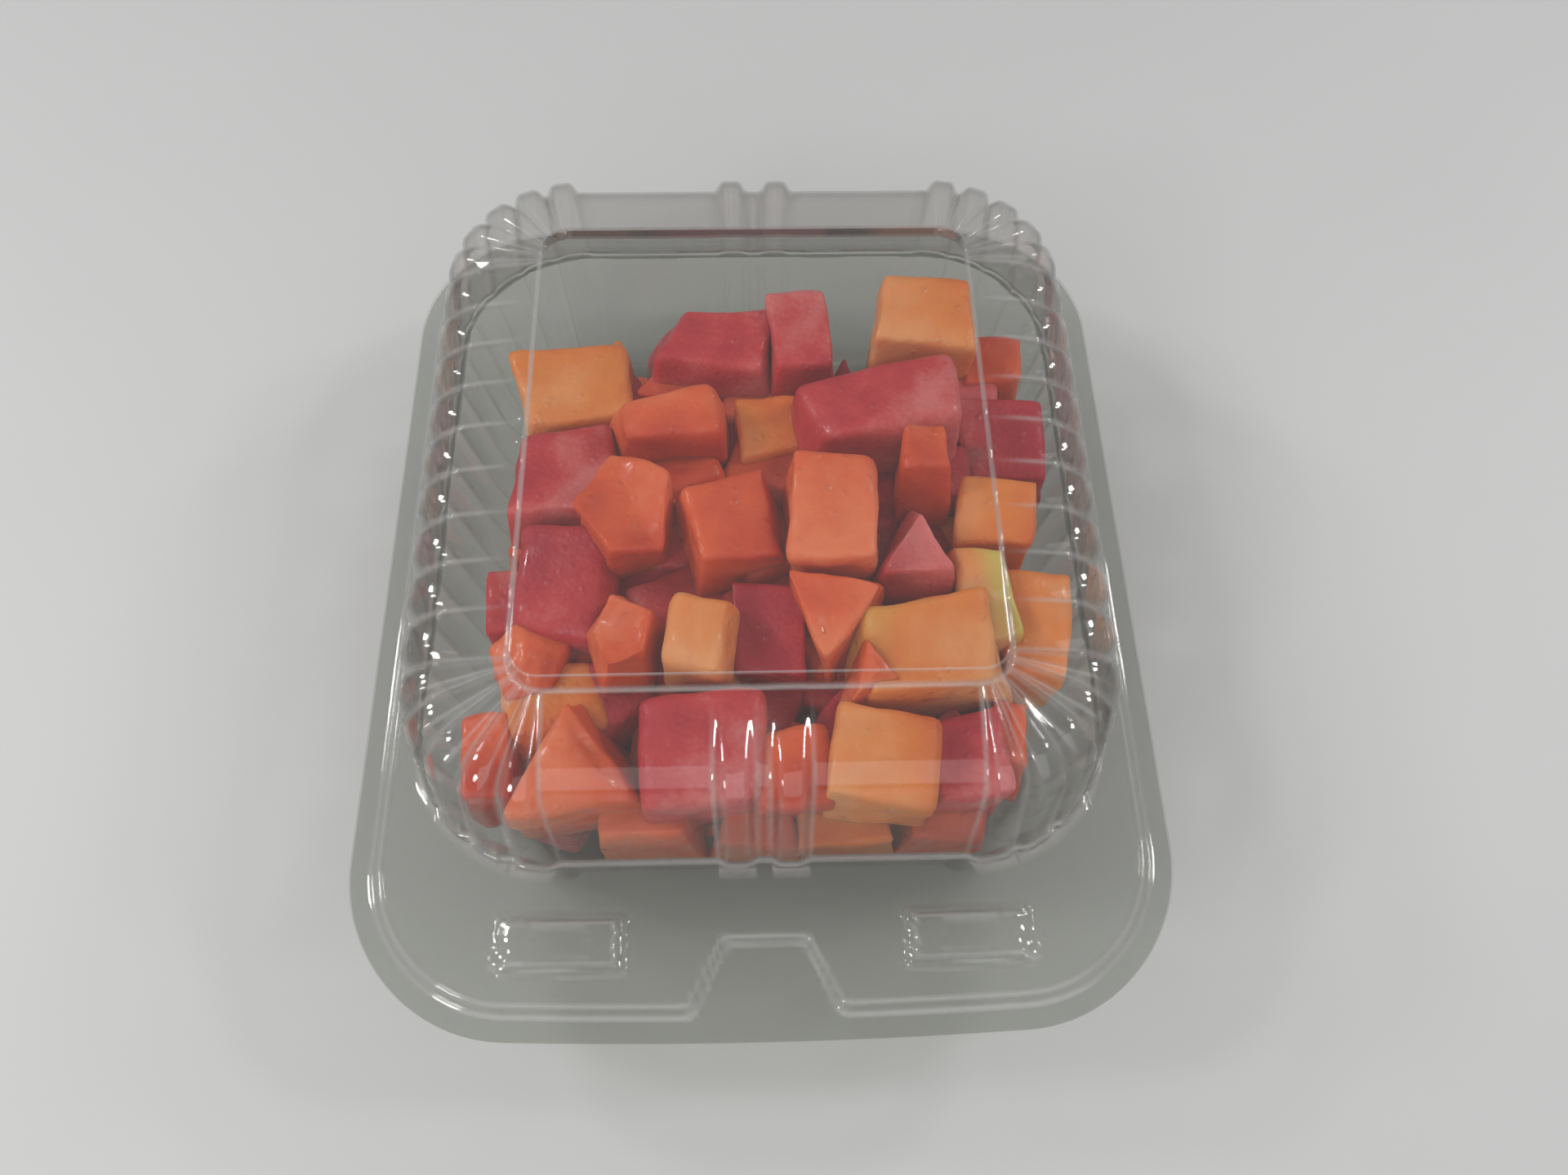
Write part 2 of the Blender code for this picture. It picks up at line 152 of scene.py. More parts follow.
class Graph:
    """The node tree of one new material."""

    def __init__(self, name: str) -> None:
        """Start an empty material.

        Args:
            name: The material's name.
        """
        self.material = bpy.data.materials.new(name)
        self.material.use_nodes = True
        self.tree = self.material.node_tree
        self.tree.nodes.clear()
        self.place = self.node("ShaderNodeTexCoord").outputs["Object"]

    def node(self, kind: str, settings: dict[str, object] | None = None,
             inputs: dict[str | int, object] | None = None) -> bpy.types.Node:
        """Add a node.

        Args:
            kind: The node's type.
            settings: Its settings, which are set first. "stops" gives a colour ramp's stops.
            inputs: Values or links of its sockets, by name or number.

        Returns:
            The new node.
        """
        node = self.tree.nodes.new(kind)
        for key, value in (settings or {}).items():
            if key == "stops":
                self._set_stops(node.color_ramp, value)
            else:
                setattr(node, key, value)
        for key, value in (inputs or {}).items():
            link = value.socket if isinstance(value, Value) else value
            if isinstance(link, bpy.types.NodeSocket):
                self.tree.links.new(link, node.inputs[key])
            else:
                node.inputs[key].default_value = link
        return node

    @staticmethod
    def _set_stops(ramp: bpy.types.ColorRamp, stops: Sequence[tuple[float, Colour]]) -> None:
        """Give a colour ramp its stops.

        Args:
            ramp: The ramp, which starts with two stops.
            stops: Place and colour of each stop, in order.
        """
        while len(ramp.elements) < len(stops):
            ramp.elements.new(1.0)
        for element, (place, colour) in zip(ramp.elements, stops):
            element.position = place
            element.color = (*colour, 1.0)

    def noise(self, scale: float, detail: float = 2.0, stretch: Sequence[float] = (1, 1, 1)) -> Value:
        """Return cloudy noise on the piece's own coordinates.

        Args:
            scale: Cells to the metre.
            detail: Octaves of finer noise.
            stretch: Factor on the scale along X, Y and Z.

        Returns:
            The noise, about 0.5 on average.
        """
        place = self.node("ShaderNodeMapping", None, {"Vector": self.place, "Scale": stretch})
        node = self.node("ShaderNodeTexNoise", None,
                         {"Vector": place.outputs[0], "Scale": scale, "Detail": detail})
        return Value(self, node.outputs[0])

    def cells(self, scale: float) -> Value:
        """Return the distance to the middle of the nearest cell, about 0 to 0.8."""
        node = self.node("ShaderNodeTexVoronoi", None, {"Vector": self.place, "Scale": scale})
        return Value(self, node.outputs["Distance"])

    def attribute(self, name: str) -> Value:
        """Return a number that the piece's mesh carries."""
        node = self.node("ShaderNodeAttribute", {"attribute_name": name})
        return Value(self, node.outputs["Fac"])

    def mix(self, factor: Value, first: object, second: object) -> bpy.types.NodeSocket:
        """Return a mix of two colours, or of two links."""
        node = self.node("ShaderNodeMix", {"data_type": "RGBA"}, {0: factor, 6: first, 7: second})
        return node.outputs[2]

    def blend(self, factor: Value, first: bpy.types.Node, second: bpy.types.Node) -> bpy.types.Node:
        """Return a mix of two shaders."""
        return self.node("ShaderNodeMixShader", None,
                         {0: factor, 1: first.outputs[0], 2: second.outputs[0]})

    def bump(self, height: Value, strength: float, distance: float) -> bpy.types.NodeSocket:
        """Return a bumped normal.

        Args:
            height: What stands up.
            strength: Share of the effect.
            distance: Height of 1, in metres.

        Returns:
            The normal's socket.
        """
        node = self.node("ShaderNodeBump", None,
                         {"Height": height, "Strength": strength, "Distance": distance})
        return node.outputs[0]

    def finish(self, surface: bpy.types.Node) -> bpy.types.Material:
        """Link the surface to the output and return the material."""
        self.node("ShaderNodeOutputMaterial", None, {"Surface": surface.outputs[0]})
        return self.material


# Finishes


@dataclass(frozen=True)
class ClearSheet:
    """Finish of thin clear formed plastic: see-through and glossy, a little duller where it was handled,
    darker where slanted or tightly bent as painted shade, and whiter on tight bends as a painted highlight.
    """

    name: str
    tint: Colour
    # Painted shade: the darker see-through colour, and how much of it slanted parts and tight bends get
    shade: Colour = (0.40, 0.41, 0.40)
    shade_slanted: float = 0.20
    shade_range: tuple[float, float] = (0.35, 1.0)
    shade_bends: float = 0.16
    # Painted highlight: how much whiter haze tight bends get
    bend_painted_highlight: float = 0.14
    shine: float = 0.032
    shine_power: float = 5.0
    roughness: float = 0.045
    handled: float = 0.03
    haze: float = 0.015
    # Colour of the sheet's real haze, also used for the painted highlight on bends
    haze_and_highlight_colour: Colour = (0.72, 0.70, 0.68)
    handled_scale: float = 30.0

    def material(self) -> bpy.types.Material:
        """Make the material: clear and glossy, with a faint haze, painted shade on slanted parts and tight
        bends, and whiter haze on tight bends as a painted highlight.

        Returns:
            The material.
        """
        graph = Graph(self.name)
        facing = graph.node("ShaderNodeLayerWeight", None, {"Blend": 0.5})
        graze = Value(graph, facing.outputs["Facing"])
        bend = graph.attribute("bend")
        flat = graph.node("ShaderNodeBsdfTransparent", None, {"Color": (*self.tint, 1.0)})
        # Painted shade: a darker see-through colour mixed in on slanted parts and tight bends
        slanted = graph.node("ShaderNodeBsdfTransparent", None, {"Color": (*self.shade, 1.0)})
        slant = graze.ramp(*self.shade_range) * self.shade_slanted
        clear = graph.blend(slant + bend * self.shade_bends, flat, slanted)
        duller = graph.noise(self.handled_scale, 0) * self.handled + self.roughness
        gloss = graph.node("ShaderNodeBsdfAnisotropic", {"distribution": "GGX"},
                           {"Color": (1, 1, 1, 1), "Roughness": duller})
        mirror = graze ** self.shine_power * (1 - self.shine) + self.shine
        sheet = graph.blend(mirror, clear, gloss)
        # The haze is real clouding of the sheet, plus a painted highlight on tight bends
        haze = graph.node("ShaderNodeBsdfDiffuse", None, {"Color": (*self.haze_and_highlight_colour, 1.0)})
        return graph.finish(graph.blend(bend * self.bend_painted_highlight + self.haze, sheet, haze))


@dataclass(frozen=True)
class Flesh:
    """Finish of one kind of cut fruit, wet on every face."""

    kind: Kind
    pale: Colour
    usual: Colour
    deep: Colour
    rind: Colour
    grain: float
    grain_share: float
    stretch: tuple[float, float, float] = (1, 1, 1)
    patch: float = 75.0
    patch_share: float = 1.1
    patch_relief: float = 0.2
    fibre_share: float = 0.6
    cell_share: float = 0.5
    cells_to_grain: float = 1.4
    peel_ragged: float = 0.3
    peel_range: tuple[float, float] = (0.6, 0.9)
    bump_strength: float = 0.35
    bump_height: float = 0.8 * MM
    roughness: float = 0.42
    wet: float = 0.4
    wet_scale: float = 195.0
    wet_range: tuple[float, float] = (0.45, 0.65)
    wet_roughness: float = 0.08
    wet_ior: float = 1.35
    dry_rougher: float = 0.22
    drops: float = 190.0
    drop_range: tuple[float, float] = (0.06, 0.22)
    drop_relief: float = 1.8
    drop_smoother: float = 0.24
    drop_wet: float = 0.9
    glow: float = 0.45
    glow_depth: float = 5.5 * MM
    glow_spread: Colour = (0.25, 0.1, 0.05)

    def material(self) -> bpy.types.Material:
        """Make the material: pale to deep flesh in patches, with grain, a wet coat and drops of juice.

        Returns:
            The material.
        """
        graph = Graph(self.kind.value)
        patches = graph.noise(self.patch)
        fibres = graph.noise(self.grain, stretch=self.stretch)
        juice = graph.cells(self.grain * self.cells_to_grain)
        fine = fibres * self.fibre_share + juice * self.cell_share
        tone = graph.attribute("tone") + (patches - 0.5) * self.patch_share
        tone = tone + (fine - 0.5) * self.grain_share
        stops = [(0.0, self.pale), (0.5, self.usual), (1.0, self.deep)]
        flesh = graph.node("ShaderNodeValToRGB", {"stops": stops}, {0: tone})
        peel = graph.attribute("rind") + (patches - 0.5) * self.peel_ragged
        colour = graph.mix(peel.ramp(*self.peel_range), flesh.outputs[0], (*self.rind, 1.0))
        drops = 1 - graph.cells(self.drops).ramp(*self.drop_range)
        relief = fine + patches * self.patch_relief + drops * self.drop_relief
        normal = graph.bump(relief, self.bump_strength, self.bump_height)
        wet = graph.noise(self.wet_scale, 1).ramp(*self.wet_range)
        radius = Vector(self.usual).normalized() + Vector(self.glow_spread)
        surface = graph.node("ShaderNodeBsdfPrincipled", {"subsurface_method": "RANDOM_WALK"}, {
            "Base Color": colour,
            "Roughness": self.roughness + self.dry_rougher * (1 - wet) - drops * self.drop_smoother,
            "Normal": normal,
            "Subsurface Weight": self.glow,
            "Subsurface Radius": radius,
            "Subsurface Scale": self.glow_depth,
            "Coat Weight": self.wet * wet + drops * self.drop_wet,
            "Coat Roughness": self.wet_roughness,
            "Coat IOR": self.wet_ior,
        })
        return graph.finish(surface)


FLESH = {
    Kind.WATERMELON: Flesh(
        Kind.WATERMELON, (0.62, 0.15, 0.14), (0.53, 0.030, 0.038), (0.40, 0.006, 0.022),
        (0.66, 0.60, 0.42), grain=560, grain_share=0.4, patch_share=1.6),
    Kind.PAPAYA: Flesh(
        Kind.PAPAYA, (0.79, 0.20, 0.075), (0.70, 0.102, 0.020), (0.55, 0.047, 0.007),
        (0.74, 0.40, 0.10), grain=380, grain_share=0.13, stretch=(1, 1, 0.3)),
    Kind.MELON: Flesh(
        Kind.MELON, (0.79, 0.35, 0.13), (0.74, 0.225, 0.036), (0.64, 0.125, 0.010),
        (0.62, 0.47, 0.10), grain=440, grain_share=0.12, stretch=(1, 0.4, 1)),
}
LID_SHEET = ClearSheet("lid_plastic", (0.948, 0.944, 0.938))
# The tub's sheet has no painted shade on slants, a little on bends, and a faint painted highlight on bends
TUB_SHEET = ClearSheet("tub_plastic", (0.81, 0.825, 0.80), haze=0.02, shade_slanted=0.0, shade_bends=0.06,
                       bend_painted_highlight=0.05)


@dataclass(frozen=True)
class Backdrop:
    """Finish of the plain pale floor."""

    colour: Colour = (0.53, 0.53, 0.52)
    roughness: float = 0.6
    mottle_scale: float = 9.0
    mottle_detail: float = 4.0
    mottle_dark: float = 0.96

    def material(self) -> bpy.types.Material:
        """Make the pale matt material with its faint mottle.

        Returns:
            The material.
        """
        graph = Graph("pale_floor")
        mottle = graph.noise(self.mottle_scale, self.mottle_detail)
        darker = tuple(self.mottle_dark * part for part in self.colour)
        colour = graph.mix(mottle, (*self.colour, 1.0), (*darker, 1.0))
        return graph.finish(graph.node("ShaderNodeBsdfPrincipled", None,
                                       {"Base Color": colour, "Roughness": self.roughness}))


# Modelling helpers


def deselect() -> None:
    """Leave edit mode and deselect everything."""
    if bpy.context.mode != "OBJECT":
        bpy.ops.object.mode_set(mode="OBJECT")
    bpy.ops.object.select_all(action="DESELECT")


def apply_modifier(thing: bpy.types.Object, kind: str, **settings: object) -> None:
    """Add a modifier and apply it.

    Args:
        thing: The object.
        kind: The modifier's type.
        settings: The modifier's settings.
    """
    deselect()
    bpy.context.view_layer.objects.active = thing
    thing.select_set(True)
    step = thing.modifiers.new(kind.lower(), kind)
    for key, value in settings.items():
        setattr(step, key, value)
    bpy.ops.object.modifier_apply(modifier=step.name)


def ruffle(thing: bpy.types.Object, name: str, size: float, height: float, octaves: int) -> None:
    """Push the points of a piece in and out by cloudy noise.

    Args:
        thing: The piece.
        name: The noise's name.
        size: Size of its clouds.
        height: Height from its deepest to its highest places.
        octaves: Octaves of finer noise.
    """
    clouds = bpy.data.textures.new(name, "CLOUDS")
    clouds.noise_scale = size
    clouds.noise_depth = octaves
    apply_modifier(thing, "DISPLACE", texture=clouds, texture_coords="LOCAL", strength=height, mid_level=0.5)


def store(thing: bpy.types.Object, name: str, values: np.ndarray) -> None:
    """Store a number for each point of a piece, which its finish reads."""
    thing.data.attributes.new(name, "FLOAT", "POINT").data.foreach_set("value", values)


def places_of(thing: bpy.types.Object) -> np.ndarray:
    """Read the places of a piece's points.

    Args:
        thing: The piece.

    Returns:
        One place a line.
    """
    places = np.empty(len(thing.data.vertices) * 3)
    thing.data.vertices.foreach_get("co", places)
    return places.reshape(-1, 3)


def join(things: Sequence[bpy.types.Object], name: str) -> bpy.types.Object:
    """Join objects into one.

    Args:
        things: The objects.
        name: The joined object's name.

    Returns:
        The joined object.
    """
    deselect()
    for thing in things:
        thing.select_set(True)
    bpy.context.view_layer.objects.active = things[0]
    bpy.ops.object.join()
    things[0].name = name
    return things[0]


def hand_over(thing: bpy.types.Object, body: Body, node: str | None,
              material: bpy.types.Material) -> None:
    """Dress a finished piece and put it on the frame.

    Args:
        thing: The piece, with its place in its mesh.
        body: The body that it rides on.
        node: The CAD node that it stands for, if it stands for one.
        material: Its finish.
    """
    thing.data.materials.clear()
    thing.data.materials.append(material)
    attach(thing, body.value)
    if node:
        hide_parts(node)
    LOG.info("%s: %d faces on %s", thing.name, len(thing.data.polygons), body.value)


class RingLoft:
    """A surface that is drawn ring by ring: a circle is extruded and each new ring is put in place."""

    def __init__(self, name: str, count: int) -> None:
        """Start with a circle.

        Args:
            name: The object's name.
            count: Points in each ring.
        """
        deselect()
        bpy.ops.mesh.primitive_circle_add(vertices=count, radius=1, fill_type="NOTHING")
        self.thing = bpy.context.active_object
        self.thing.name = name
        self.thing.data.name = name
        bpy.ops.object.mode_set(mode="EDIT")
        bpy.ops.mesh.select_all(action="SELECT")
        mesh = bmesh.from_edit_mesh(self.thing.data)
        mark = mesh.verts.layers.int.new("station")
        for index, vert in enumerate(mesh.verts):
            vert[mark] = index
        self.started = False

    def ring(self, points: np.ndarray) -> None:
        """Extrude the last ring, except the first time, and move it on.

        Args:
            points: The new ring's points.
        """
        if self.started:
            bpy.ops.mesh.extrude_region_move()
        self.started = True
        mesh = bmesh.from_edit_mesh(self.thing.data)
        mark = mesh.verts.layers.int["station"]
        for vert in mesh.verts:
            if vert.select:
                vert.co = points[vert[mark]]

    def close(self) -> bpy.types.Object:
        """Cap the last ring and turn the cap upwards and the rest with it.

        Returns:
            The finished surface.
        """
        bpy.ops.mesh.edge_face_add()
        bpy.ops.mesh.select_all(action="SELECT")
        bpy.ops.mesh.normals_make_consistent(inside=False)
        mesh = bmesh.from_edit_mesh(self.thing.data)
        cap = max(mesh.faces, key=lambda face: len(face.verts))
        if cap.normal.z < 0:
            bpy.ops.mesh.flip_normals()
        bpy.ops.object.mode_set(mode="OBJECT")
        self.thing.data.attributes.remove(self.thing.data.attributes["station"])
        return self.thing


def smooth_step(values: np.ndarray, start: float, end: float) -> np.ndarray:
    """Return a soft step from 0 at start to 1 at end."""
    share = np.clip((values - start) / (end - start), 0.0, 1.0)
    return share * share * (3 - 2 * share)


# The clamshell


@dataclass(frozen=True)
class Row:
    """One ring of a shell: core blend, radius, height, and how far the flutes stand out and up."""

    blend: float
    radius: float
    z: float
    out: float = 0.0
    up: float = 0.0

    def towards(self, other: "Row", share: float) -> "Row":
        """Work out a row between this one and another.

        Args:
            other: The other row.
            share: How far along the way it lies, 0 to 1.

        Returns:
            The new row.
        """
        mine, theirs = np.array(astuple(self)), np.array(astuple(other))
        return Row(*(mine + (theirs - mine) * share))

    def distance(self, other: "Row") -> float:
        """Return the length of the profile between two rows."""
        return math.hypot(self.radius - other.radius, self.z - other.z)


@dataclass
class Clamshell:
    """Sizes and outlines that the lid and the tub share."""

    # The whole
    width: float = 190 * MM
    depth: float = 230 * MM
    tub_height: float = 41.1 * MM
    pitch: float = 1.1 * MM
    sheet: float = 0.5 * MM
    # Flange, from its edge inwards
    flange_corner: float = 37.5 * MM
    front_bow: float = 3.4 * MM
    lip: float = 4.5 * MM
    lip_bend: float = 0.7 * MM
    lip_lift: float = 0.04 * MM
    riser_run: float = 3.0 * MM
    riser_rise: float = 2.5 * MM
    riser_steps: int = 5
    plateau_run: float = 31.5 * MM
    plateau_fine: float = 20.5 * MM
    plateau_step: float = 0.85 * MM
    plateau_rest: tuple[float, ...] = (0.75, 0.85, 0.93)
    # Hinge
    hinge_radius: float = 1.2 * MM
    hinge_length: float = 112 * MM
    hinge_clearance: float = 0.5 * MM
    # Walls and their flutes
    dome_y: float = 13.7 * MM
    straight_x: float = 46.5 * MM
    straight_y: float = 54.0 * MM
    foot_radius: float = 35.7 * MM
    side_flutes: int = 9
    corner_flutes: int = 5
    flank: float = 0.30
    flute_power: float = 1.4
    front_flute_at: float = 6.0 * MM
    front_flute_width: float = 9.0 * MM
    # Thumb recess
    notch_front: float = 36.0 * MM
    notch_back: float = 19.0 * MM
    notch_back_y: float = -93.6 * MM
    notch_floor: float = 0.2 * MM
    notch_edge: tuple[float, float] = (-0.3 * MM, 1.3 * MM)
    # Lock buttons
    button_x: float = 45.5 * MM
    button_y: float = -93.9 * MM
    button_half: tuple[float, float] = (12.5 * MM, 4.75 * MM)
    button_rise: float = 1.8 * MM
    button_edge: tuple[float, float] = (-0.8 * MM, 0.2 * MM)
    saddle_half: float = 6.2 * MM
    saddle_drop: float = 0.4 * MM
    saddle_edge: tuple[float, float] = (-0.5 * MM, 0.3 * MM)
    saddle_rim: tuple[float, float] = (0.8 * MM, 1.8 * MM)
    dimple_offset: float = 17.0 * MM
    dimple_radius: float = 1.6 * MM
    dimple_rise: float = 0.3 * MM
    # Mesh and surface
    column: float = 0.95 * MM
    wide_column: float = 3.0 * MM
    bend_range: tuple[float, float] = (200.0, 900.0)
    smooth_angle: float = 50.0
    corner_steps: int = 4
    ripple: float = 0.16 * MM
    ripple_size: float = 16 * MM
    flute_steps: tuple[float, ...] = (0.0, 0.07, 0.14, 0.21, 0.30, 0.5, 0.70, 0.79, 0.86, 0.93)
    stations: np.ndarray = field(init=False)

    def __post_init__(self) -> None:
        """Work out the stations of every ring."""
        self.stations = np.array(list(self._stations()))

    def _crest(self, share: float) -> float:
        """Return how far up a flute is at a share of its width, 0 to 1."""
        rise = np.clip(min(share, 1 - share) / self.flank, 0.0, 1.0)
        return float(math.sin(rise * math.pi / 2) ** self.flute_power)

    def _fluted(self, count: int) -> Iterator[tuple[float, float]]:
        """Work out a row of flutes, without its last point.

        Args:
            count: Number of flutes.

        Yields:
            Share of the run and flute height.
        """
        for index in range(count):
            for step in self.flute_steps:
                yield (index + step) / count, self._crest(step)

    def _end_wall(self, column: float) -> Iterator[tuple[float, float]]:
        """Work out an end wall with two flutes at its middle.

        Args:
            column: Width of its plain columns.

        Yields:
            Share of the run and flute height.
        """
        half = self.front_flute_width / 2
        edge = self.front_flute_at + half
        plain = math.ceil((self.straight_x - edge) / column)
        for index in range(plain):
            yield index / plain * (0.5 - edge / (2 * self.straight_x)), 0.0
        for centre in (-self.front_flute_at, self.front_flute_at):
            for step in self.flute_steps:
                place = centre + (step - 0.5) * self.front_flute_width
                yield 0.5 + place / (2 * self.straight_x), self._crest(step)
            if centre < 0:
                for step in (0.0, 0.5):
                    place = -(edge - self.front_flute_width) * (1 - 2 * step)
                    yield 0.5 + place / (2 * self.straight_x), 0.0
        for index in range(plain):
            start = 0.5 + edge / (2 * self.straight_x)
            yield start + index / plain * (1 - start), 0.0

    def _stations(self) -> Iterator[tuple[float, float, float, float, float]]:
        """Work out the stations of every ring, all round.

        Yields:
            Place on the core in X and Y, direction of the radius in X and Y, and flute height.
        """
        for quarter in range(4):
            side = Matrix.Rotation(quarter * math.pi / 2, 2)
            profile = self._fluted(self.side_flutes)
            if quarter % 2:
                profile = self._end_wall(self.column if quarter == 3 else self.wide_column)
            normal = side @ Vector((1, 0))
            for share, flute in profile:
                along = side @ Vector((1, 2 * share - 1))
                yield along.x, along.y, normal.x, normal.y, flute
            corner = side @ Vector((1, 1))
            for share, flute in self._fluted(self.corner_flutes):
                angle = (quarter + share) * math.pi / 2
                yield corner.x, corner.y, math.cos(angle), math.sin(angle), flute

    def points(self, row: Row) -> np.ndarray:
        """Return the points of one ring.

        Args:
            row: The ring's sizes. Blend 0 is the flange's core and blend 1 the dome's.

        Returns:
            One point a line.
        """
        along_x, along_y, normal_x, normal_y, flute = self.stations.T
        front = -self.depth / 2 + self.front_bow
        back = self.depth / 2 - self.hinge_radius
        half_x = self.width / 2 - self.flange_corner
        half_y = (back - front) / 2 - self.flange_corner
        half_x += (self.straight_x - half_x) * row.blend
        half_y += (self.straight_y - half_y) * row.blend
        centre = (front + back) / 2
        centre += (self.dome_y - centre) * row.blend
        reach = row.radius + row.out * flute
        x = along_x * half_x + normal_x * reach
        y = along_y * half_y + normal_y * reach + centre
        bow = self.front_bow * (1 - row.blend) * np.maximum(0, -normal_y)
        y = y - bow * (1 - (2 * x / self.width) ** 2)
        return np.stack([x, y, row.z + row.up * flute], axis=1)

    def flange_rows(self, base: float, inset: float, foot: float) -> list[Row]:
        """Return the flange's rows: lip, riser and plateau, up to the foot of the wall.

        Args:
            base: Height of the lip.
            inset: Width of the lip.
            foot: Radius of the wall's foot.

        Returns:
            The rows, from the outer edge inwards.
        """
        corner = self.flange_corner
        bend = self.lip_bend
        top = base + self.riser_rise
        rows = [Row(0, corner, base), Row(0, corner - self.sheet, base),
                Row(0, corner - inset + 1.4 * bend, base),
                Row(0, corner - inset + 0.5 * bend, base + self.lip_lift)]
        for index in range(1, self.riser_steps):
            share = index / self.riser_steps
            lift = float(smooth_step(np.array(share), 0.0, 1.0))
            rows.append(Row(0, corner - inset - share * self.riser_run, base + lift * self.riser_rise))
        edge = Row(0, corner - inset - self.riser_run, top)
        rows.append(edge)
        last = Row(1, foot, top)
        count = round(self.plateau_fine / self.plateau_step)
        fine = self.plateau_fine / self.plateau_run
        rows += [edge.towards(last, fine * index / count) for index in range(1, count + 1)]
        rows += [edge.towards(last, share) for share in self.plateau_rest]
        return rows

    def stamp(self, points: np.ndarray, base: float, grow: float) -> np.ndarray:
        """Press the thumb recess and the lock buttons into a ring of the flange.

        Args:
            points: The ring's points.
            base: Height of the flange's lip.
            grow: How much larger the shapes are than in the lid.

        Returns:
            The ring's new points.
        """
        x, y, z = points.T.copy()
        plateau = base + self.riser_rise
        lip_y = -self.depth / 2 + self.lip
        slope = (self.notch_front - self.notch_back) / 2 / (self.notch_back_y - lip_y)
        half = self.notch_front / 2 + grow - slope * (y - lip_y)
        inside = np.minimum(half - np.abs(x), self.notch_back_y + grow - y)
        sunk = smooth_step(inside, *self.notch_edge)
        floor = base + self.notch_floor
        z = np.where(z > floor, z + (floor - z) * sunk, z)
        for side in (-1, 1):
            across = x - side * self.button_x
            away = np.maximum(np.abs(across) - self.button_half[0],
                              np.abs(y - self.button_y) - self.button_half[1])
            raised = smooth_step(-away + grow, *self.button_edge)
            saddle = smooth_step(self.saddle_half - np.abs(across), *self.saddle_edge)
            saddle *= smooth_step(-away, *self.saddle_rim)
            z = z + raised * self.button_rise - saddle * self.saddle_drop
            for end in (-1, 1):
                reach = np.hypot(across - end * self.dimple_offset, y - self.button_y)
                z = z + self.dimple_rise * smooth_step(-reach, -self.dimple_radius, 0)
        z = np.minimum(z, plateau + self.button_rise + self.dimple_rise)
        return np.stack([x, y, z], axis=1)

    @staticmethod
    def rounded(rows: Sequence[Row], bends: Sequence[float], steps: int) -> list[Row]:
        """Return a profile with its corners rounded.

        Args:
            rows: The profile's corners.
            bends: How far from each inner corner its rounding starts.
            steps: Points in each rounding.

        Returns:
            The rounded rows, with the first and the last where they were.
        """
        result = [rows[0]]
        for before, corner, after, bend in zip(rows, rows[1:], rows[2:], bends):
            start = corner.towards(before, min(0.48, bend / corner.distance(before)))
            end = corner.towards(after, min(0.48, bend / corner.distance(after)))
            for index in range(steps + 1):
                share = index / steps
                result.append(start.towards(corner, share).towards(corner.towards(end, share), share))
        return result + [rows[-1]]

    def mark_bends(self, thing: bpy.types.Object) -> None:
        """Store how tightly a sheet bends at each point as the attribute "bend", 0 to 1.

        Args:
            thing: The open sheet.
        """
        mesh = bmesh.new()
        mesh.from_mesh(thing.data)
        tight = np.zeros(len(mesh.verts))
        for edge in mesh.edges:
            if len(edge.link_faces) == 2:
                first, second = edge.link_faces
                apart = (first.calc_center_median() - second.calc_center_median()).length
                curve = edge.calc_face_angle(0.0) / max(apart, 0.1 * MM)
                for vert in edge.verts:
                    tight[vert.index] = max(tight[vert.index], curve)
        mesh.free()
        # The finish uses this value to put painted shade and a painted highlight on tight bends
        store(thing, "bend", smooth_step(tight, *self.bend_range))

    def loft(self, name: str, rings: Sequence[np.ndarray]) -> bpy.types.Object:
        """Draw a shell through its rings and give it the sheet's faint ripple and its thickness.

        Args:
            name: The piece's name.
            rings: Points of each ring, from the flange's edge to the middle.

        Returns:
            The closed shell.
        """
        surface = RingLoft(name, len(self.stations))
        for ring in rings:
            surface.ring(ring)
        thing = surface.close()
        ruffle(thing, "ripple", self.ripple_size, self.ripple, 0)
        self.mark_bends(thing)
        apply_modifier(thing, "SOLIDIFY", thickness=self.sheet, offset=-1.0)
        bpy.ops.object.shade_smooth_by_angle(angle=math.radians(self.smooth_angle))
        return thing


